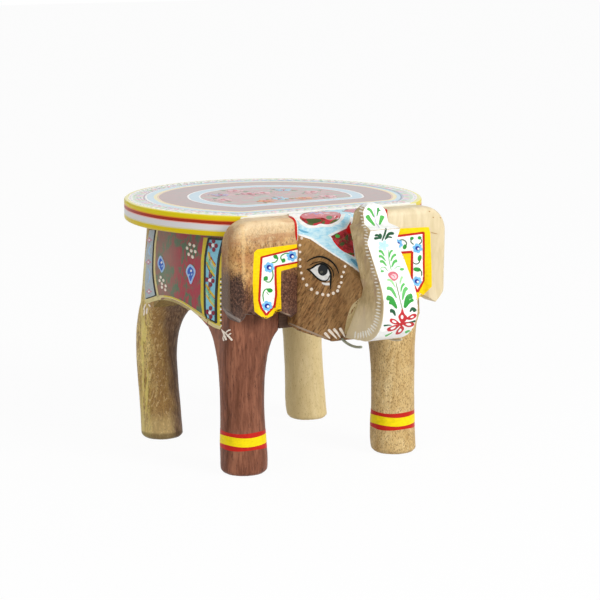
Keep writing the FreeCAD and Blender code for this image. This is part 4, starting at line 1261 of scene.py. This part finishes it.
def draw_trunk_ground(surface):
    """White paint on the front face: u runs down it in mm, v from side to side in shares."""
    profile = trunk_front_points()
    lengths = [0.0]
    for a, b in zip(profile, profile[1:]):
        lengths.append(lengths[-1] + math.dist(a[:2], b[:2]))

    def at(u, v):
        k = next((k for k, end in enumerate(lengths[1:]) if u <= end), len(profile) - 2)
        t = (u - lengths[k]) / (lengths[k + 1] - lengths[k])
        reach, height, half = (a + (b - a) * t for a, b in zip(profile[k], profile[k + 1]))
        return surface.nearest(Vector((half * v * MM, (-TRUNK_ROOT_MM - reach) * MM,
                                       height * MM)))

    points = [(lengths[-1] * r / GROUND_ROWS, GROUND_START + GROUND_SPAN * k / GROUND_COLUMNS)
              for r in range(GROUND_ROWS + 1) for k in range(GROUND_COLUMNS + 1)]
    add_film(Canvas("trunk", at), "white", points, grid_faces(GROUND_ROWS, GROUND_COLUMNS), 0)


TRUNK_PX = [
    *((stroke, *leaf_row, 1, (0.12, 0.95)) for leaf_row in (
        ("grass", [(367.2, 208.6), (370.6, 210.6), (374, 217.2)], 3.0),
        ("green", [(378, 207.6), (377.8, 211.4), (376.6, 216.6)], 2.2),
        ("green", [(380.4, 210.6), (378.4, 210.4), (377, 213.2)], 1.8),
        ("grass", [(366.6, 215.4), (369.4, 219.4), (374.8, 226)], 4.4),
        ("grass", [(382.4, 215.6), (381.2, 219.6), (379.4, 225)], 4.8),
        ("leaf_green", [(378.6, 251.2), (381.4, 251.8), (384.4, 256.4)], 2.8),
        ("leaf_green", [(378.6, 256.4), (381.8, 256.8), (385.6, 261)], 2.8),
        ("leaf_green", [(379.8, 262), (382.6, 261.6), (386.4, 266)], 3.0),
        ("leaf_green", [(392.6, 250.4), (390.2, 252.4), (389.2, 257.6)], 2.2),
        ("leaf_green", [(396, 254.4), (392.8, 256.6), (390.6, 261.6)], 2.8),
        ("leaf_green", [(397.2, 260.6), (394, 262.2), (391.6, 267.4)], 3.2),
        ("light_green", [(387, 279.8), (391, 281), (395.4, 287.6)], 2.6),
        ("leaf_green", [(386.6, 288.4), (391.4, 289.4), (396.4, 298)], 3.8),
        ("green", [(386.2, 297.8), (391.4, 299.4), (396.8, 308.4)], 5.4),
        ("green", [(388.8, 302.4), (392.4, 303.6), (396.4, 308.6)], 3.6),
        ("light_green", [(402.4, 276.6), (400.8, 279.6), (399.8, 284.6)], 2.4),
        ("leaf_green", [(404.4, 283.6), (402, 286.4), (400.6, 292.4)], 2.6),
        ("leaf_green", [(407.2, 287.6), (404.2, 291.2), (402.4, 300.2)], 4.0),
        ("green", [(412.4, 295.8), (407.6, 298), (404.2, 307.8)], 5.6),
        ("green", [(413.4, 299.6), (409.2, 302), (405, 308)], 3.4),
        ("dark_green", [(389.8, 310.6), (393.2, 311.4), (395.2, 315.8)], 4.2),
        ("dark_green", [(415.4, 311.4), (412.4, 308.4), (409.8, 312)], 4.0),
        ("dark_green", [(383.6, 325.6), (388, 325), (391.6, 325.2)], 1.8),
        ("dark_green", [(416.8, 320.4), (412.6, 321.6), (408, 322.4)], 2.2),
        ("leaf_green", [(405, 332.6), (408.6, 330.8), (411, 331.8)], 2.4),
        ("leaf_green", [(385, 336), (389, 334.2), (392.4, 332)], 1.6),
    )),
    *((stroke, *stem_row, 2, 0.2) for stem_row in (
        ("faint_lilac", [(373.9, 207.6), (374.6, 216), (375.8, 222.6), (379.4, 228)], 0.8),
        ("leaf_green", [(388.4, 250), (388.9, 260), (391.2, 270.6)], 0.6),
        ("leaf_green", [(387.6, 271), (384.4, 267.4), (380.8, 268), (381.4, 270.6)], 0.6),
        ("leaf_green", [(393.8, 269.6), (397.4, 266.6), (400.8, 267.4)], 0.6),
        ("stem", [(395.6, 282), (398.8, 295), (402.2, 309.4)], 0.9),
    )),
    (blob, "leaf_green", oval(382.2, 271.4, 1.7, 1.1), 2),
    (blob, "leaf_green", oval(401.8, 269.4, 2.2, 1.3), 2),
    *((stroke, "dark_green", path, width, 1, (0.2, 0.7)) for path, width in (
        ([(374.6, 235.6), (377.6, 235.2), (380.8, 238.4)], 2.4),
        ([(374, 238.6), (377.4, 238), (380.8, 238)], 2.6),
        ([(379, 234), (380.8, 235.6), (380.4, 239)], 2.6),
        ([(394, 233.4), (388.8, 233.8), (384.8, 239.6)], 3.0),
        ([(392, 237.6), (388.4, 236.8), (385, 239.4)], 1.6),
    )),
    (stroke, "dark_green", [(386, 228.4), (384.6, 234), (381.8, 240.8)], 1.8, 2, (0.1, 0.5)),
    (flower, "powder_blue", (383.2, 245.6), "powder_blue", 5, 3.4, 1.9, 1, 1.6),
    (blob, "rose", [(387.8, 275), (390, 272.2), (394.2, 271.8), (397.6, 274.2), (398, 278),
                    (394.6, 281), (391.4, 279.6)], 1),
    (blob, "blush", [(390.4, 276), (392.2, 274.2), (395.4, 274.6), (396.6, 277.4),
                     (394, 279.4)], 2),
    (stroke, "rose", [(389.6, 275.2), (392.8, 275.4), (394.6, 278)], 0.8, 3, 0.2),
    (blob, "petal_red", [(402.2, 307.8), (404.2, 313.4), (407.2, 317.6), (402.2, 323.4),
                         (398.2, 317), (400.6, 312.6)], 1),
    *((hollow_petal, "petal_red", outline, inside) for outline, inside in (
        ([(406.2, 318.8), (411, 314.6), (415.6, 313.8), (416, 316.6), (411.4, 319.6)], 0.36),
        ([(399.6, 323.6), (395.2, 319.4), (390.6, 318.6), (389.8, 321.4), (394, 324)], 0.45),
        ([(401.6, 323.4), (407.4, 321.8), (413.6, 322.8), (413.2, 325.8), (407.4, 326.8)], 0.45),
        ([(399.8, 324.4), (393.4, 325.4), (387.2, 328.4), (388.4, 331.2), (395, 329.6)], 0.42),
        ([(401.6, 325.6), (404, 328.8), (400, 333.4), (395.6, 334), (397.2, 329.8)], 0.42),
    )),
    (blob, "white", oval(401.9, 316.8, 1.3, 2.0), 2),
    (blob, "petal_red", oval(400.8, 324.2, 1.6), 3, 0.1),
]
TICK_PATH_PX = [(363.9, 209), (363.2, 216), (364.2, 222), (366.6, 227.4), (368.4, 233),
                (368.2, 239), (368, 245), (369.2, 251.6), (371.2, 258.4), (373.4, 265.2),
                (375.4, 272), (377.4, 279), (379.2, 286), (380.6, 293), (381.2, 300),
                (380.8, 307), (380.6, 314), (379.6, 320.6), (377.6, 326.6), (374.4, 332),
                (369.8, 336.2), (364, 338.4), (358, 339), (352.4, 338.4)]
TICK_SPACING, TICK_WIDTH, TICK_LENGTH, TICK_WAVER = 5.0, 1.4, 3.4, 0.9
LONG_TICKS_FROM, LONG_TICKS_TO, LONG_TICK_GAIN = 290, 336, 2.6


def draw_ticks(c):
    """Short white ticks along the trunk's front arris, square to it, longer at the bend."""
    points = smooth_path(TICK_PATH_PX, TICK_SPACING)
    for (ax, ay), (bx, by) in zip(points, points[1:]):
        length = math.hypot(bx - ax, by - ay)
        nx, ny = -(by - ay) / length, (bx - ax) / length
        low = max(0.0, (ay - LONG_TICKS_FROM) / (LONG_TICKS_TO - LONG_TICKS_FROM))
        reach = TICK_LENGTH + LONG_TICK_GAIN * low + TICK_WAVER * math.sin(ax * 7 + ay * 3)
        stroke(c, "tick", [(ax + nx * 0.2, ay + ny * 0.2),
                           (ax + nx * reach, ay + ny * reach - 1.0)], TICK_WIDTH, 1, (0.4, 0.2))


# leg bands

BANDS_MM = [("red", 36.8, 41.8, 0), ("band_yellow", 29.2, 37.8, 1), ("red", 25.0, 30.2, 0)]
BAND_ROWS, BAND_COLUMNS = 5, 72
BAND_RIPPLE_MM = 0.5
LEG_AXIS_X, LEG_AXIS_Y = 0.085, -0.046
LEG_REACH = 0.06  # farther out than the leg's face


def draw_leg_bands(node, surface):
    """Painted rings round a front leg, with slightly wavy edges."""
    axis_x = math.copysign(LEG_AXIS_X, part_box(node)[0].x)
    points = [(k / BAND_COLUMNS, r / BAND_ROWS) for r in range(BAND_ROWS + 1)
              for k in range(BAND_COLUMNS)]
    for colour, bottom, top, layer in BANDS_MM:
        def at(u, v):
            turn = 2 * math.pi * u
            out = Vector((math.cos(turn), math.sin(turn), 0))
            ripple = BAND_RIPPLE_MM * math.sin(turn * 3 + bottom) * (1 if v in (0, 1) else 0)
            start = Vector((axis_x, LEG_AXIS_Y, (bottom + (top - bottom) * v + ripple) * MM))
            return surface.tree.ray_cast(start + out * LEG_REACH, -out)[:2]

        add_film(Canvas(node, at), colour, points, grid_faces(BAND_ROWS, BAND_COLUMNS, True),
                 layer)


# seat top, in mm

LACE_DEPTH, LACE_SPACING = 14, 9.0
LACE_TINTS = ("faint_rose", "faint_green", "faint_lilac")
DOT_DEPTH, DOT_SPACING = 6.2, 8.0
SEAT_LEAF_REACH = 9.4
SEAT_CURL = [(10, 0), (14, 0.3), (13, 0.8)]  # reach from the flower's middle, turn in radians
SEAT_FLOWERS_PX = [
    (220.5, 195.0, "faint_lilac"), (223.0, 199.8, "blush"), (235.0, 191.0, "blush"),
    (249.0, 193.8, "faint_rose"), (262.6, 193.0, "blush"), (265.4, 201.0, "peach"),
    (279.6, 198.6, "powder_blue"), (283.0, 190.0, "powder_blue"), (304.0, 198.2, "peach"),
    (312.6, 192.0, "blush"), (327.0, 196.2, "blush"),
]


def seat_path(depth, step):
    """Points at even steps along the seat's outline, at a depth in mm inside it."""
    radius = SEAT_RADIUS / MM - depth
    front = SEAT_FRONT_Y / MM + depth / CHORD_WEIGHT
    centre = SEAT_CENTRE_Y / MM
    corner = math.degrees(math.asin((front - centre) / radius))
    edge = [around(0, centre, radius, math.radians(a))
            for a in range(round(corner), round(180 - corner) + 1, 3)]
    edge.append(edge[0])
    length = sum(math.dist(a, b) for a, b in zip(edge, edge[1:]))
    return resampled(edge, round(length / step))


def draw_seat_border(c):
    """A painted lace of small curls, dots and leaves between two lines."""
    path = seat_path(LACE_DEPTH, LACE_SPACING)
    for k, ((x, y), (bx, by)) in enumerate(zip(path, path[1:])):
        length = math.dist((x, y), (bx, by)) or 1
        tx, ty = (bx - x) / length, (by - y) / length

        def spots(*places):
            return [(x + tx * along - ty * inward, y + ty * along + tx * inward)
                    for along, inward in places]

        stroke(c, LACE_TINTS[k % 3], spots((-3.4, -3.6), (-1.4, 2.6), (1.6, 3.0), (2.6, -0.4),
                                           (0.6, -1.8)), 1.0, 0, 0.2)
        blob(c, "faint_rose", oval(*spots((3.6, 5.0))[0], 1.0), 0)
        stroke(c, "faint_green", spots((2.4, -5.8), (4.4, -3.0), (6.4, -5.6)), 1.0, 0, 0.3)
        stroke(c, "grey_blue", spots((-3.0, 6.6), (0.4, 5.0), (3.2, 6.8)), 0.8, 0, 0.3)
    for k, (x, y) in enumerate(seat_path(DOT_DEPTH, DOT_SPACING)):
        blob(c, "grey_blue" if k % 2 else "faint_rose", oval(x, y, 0.8), 0)


def draw_seat_field(c):
    """Open flowers with a few leaves and curls on the mottled middle of the seat."""
    for k, (px, py, tint) in enumerate(SEAT_FLOWERS_PX):
        ray = pixel_ray(px, py)
        place = EYE + ray * ((SEAT_TOP - EYE.z) / ray.z)
        x, y = place.x / MM, place.y / MM
        flower(c, tint, (x, y), "rose", 5, 5.6, 2.9, 1, 2.2, None, 20 * k)
        for turn in (60 + 35 * k, 230 + 35 * k):
            stem = around(x, y, SEAT_LEAF_REACH, math.radians(turn))
            blob(c, "sage", leaf(*stem, 5.6, 2.6, turn + 25), 0)
        angle = math.radians(100 + 50 * k)
        curl = [around(x, y, reach, angle + turn) for reach, turn in SEAT_CURL]
        stroke(c, tint, curl, 1.6, 0, 0.3)


# colours of the films

PALETTE = {
    "yellow": "#dcc62e", "bright_yellow": "#fdd60c", "band_yellow": "#f6dc06", "aqua": "#88cbe0",
    "black": "#0b0e0b", "crimson": "#8a1534", "white": "#fbfbf8", "gold": "#e2c234",
    "red": "#c2241a", "mint": "#7fcbab", "cream": "#fbeede", "sky": "#a9cdf2", "blue": "#3a63c2",
    "pale_blue": "#b4c0c4", "cream_yellow": "#e0d094", "pink": "#cf93a4", "sky_blue": "#7cc2f0",
    "navy": "#22369c", "green": "#359a3e", "lilac": "#b9a5d6", "bright_red": "#dc1c1c",
    "eye_white": "#ececea", "iris": "#272a2d", "iris_grey": "#55554f", "powder_blue": "#bfe4f4",
    "light_green": "#a6dc9c", "leaf_green": "#63bc62", "dark_green": "#2c5c3e",
    "rose": "#d8707e", "blush": "#f4ccd0", "stem": "#8a9a74", "petal_red": "#c8343a",
    "grass": "#4cae48", "jaw_edge": "#b09a84", "bare_wood": "#c6b285", "sage": "#7d9a78",
    "moss": "#4c5a30", "mauve_red": "#d88c92", "deep_sky": "#74b8d8", "worn": "#84766e",
    "faint_rose": "#e8b4bc", "faint_green": "#b4d4b0", "faint_lilac": "#ccc0dc",
    "crease": "#b48a58", "tick": "#f2eee2", "grey_blue": "#9db4be", "peach": "#eeb08a",
}


def paint_flanks(made):
    rails = {side: Surface(NODES["side_rail_" + side], made["leg_front_" + side],
                           made["leg_rear_" + side]) for side in ("right", "left")}
    right = Canvas("flank_right", rails["right"].along_pixel)
    draw([right, mirrored(right, "flank_left", rails["left"])], FLANK_PX)


def paint_ears(made):
    left_surface = Surface(made["ear_left"])
    right = Canvas("ear_right", Surface(made["ear_right"]).along_pixel)
    left = Canvas("ear_left", left_surface.along_pixel)
    draw([right], RIGHT_EAR_PX)
    draw([left], LEFT_EAR_PX)
    draw([right, mirrored(right, "ear_left", left_surface)], EAR_SEAM_PX)


def paint_head(made):
    head = Surface(made["head"])
    draw([Canvas("head", lambda u, v: head.nearest(Vector((u * MM, v * MM, SEAT_TOP))))],
         FOREHEAD_TOP_MM)
    right = Canvas("head", head.along_pixel, -1)
    draw([right, mirrored(right, "head", head)], FACE_PX)


def paint_trunk(made):
    trunk = Surface(made["trunk"])
    draw_trunk_ground(trunk)
    front = Canvas("trunk", trunk.along_pixel)
    draw([front], TRUNK_PX)
    draw_ticks([front, mirrored(front, "trunk", trunk)])


def paint_everything(made):
    paint_flanks(made)
    paint_ears(made)
    paint_head(made)
    paint_trunk(made)
    for node in ("leg_front_left", "leg_front_right"):
        draw_leg_bands(node, Surface(made[node]))
    seat = [Canvas("seat", lambda u, v: (Vector((u * MM, v * MM, SEAT_TOP)), UP))]
    draw_seat_border(seat)
    draw_seat_field(seat)
    materials = {name: paint("paint_" + name, code) for name, code in PALETTE.items()}
    materials["light_blue"] = paint("paint_light_blue", "#d2f0f8", "#9cd8ee")
    materials["speckled"] = speckled_forehead("paint_speckled")
    finish_films(materials)


bpy.context.scene.view_settings.view_transform = "Standard"
add_camera()
set_world(WORLD_STRENGTH)
for lamp, settings in LAMPS.items():
    area_light(lamp, *settings)
add_floor()
dress_nodes()
paint_everything(carve_pieces())
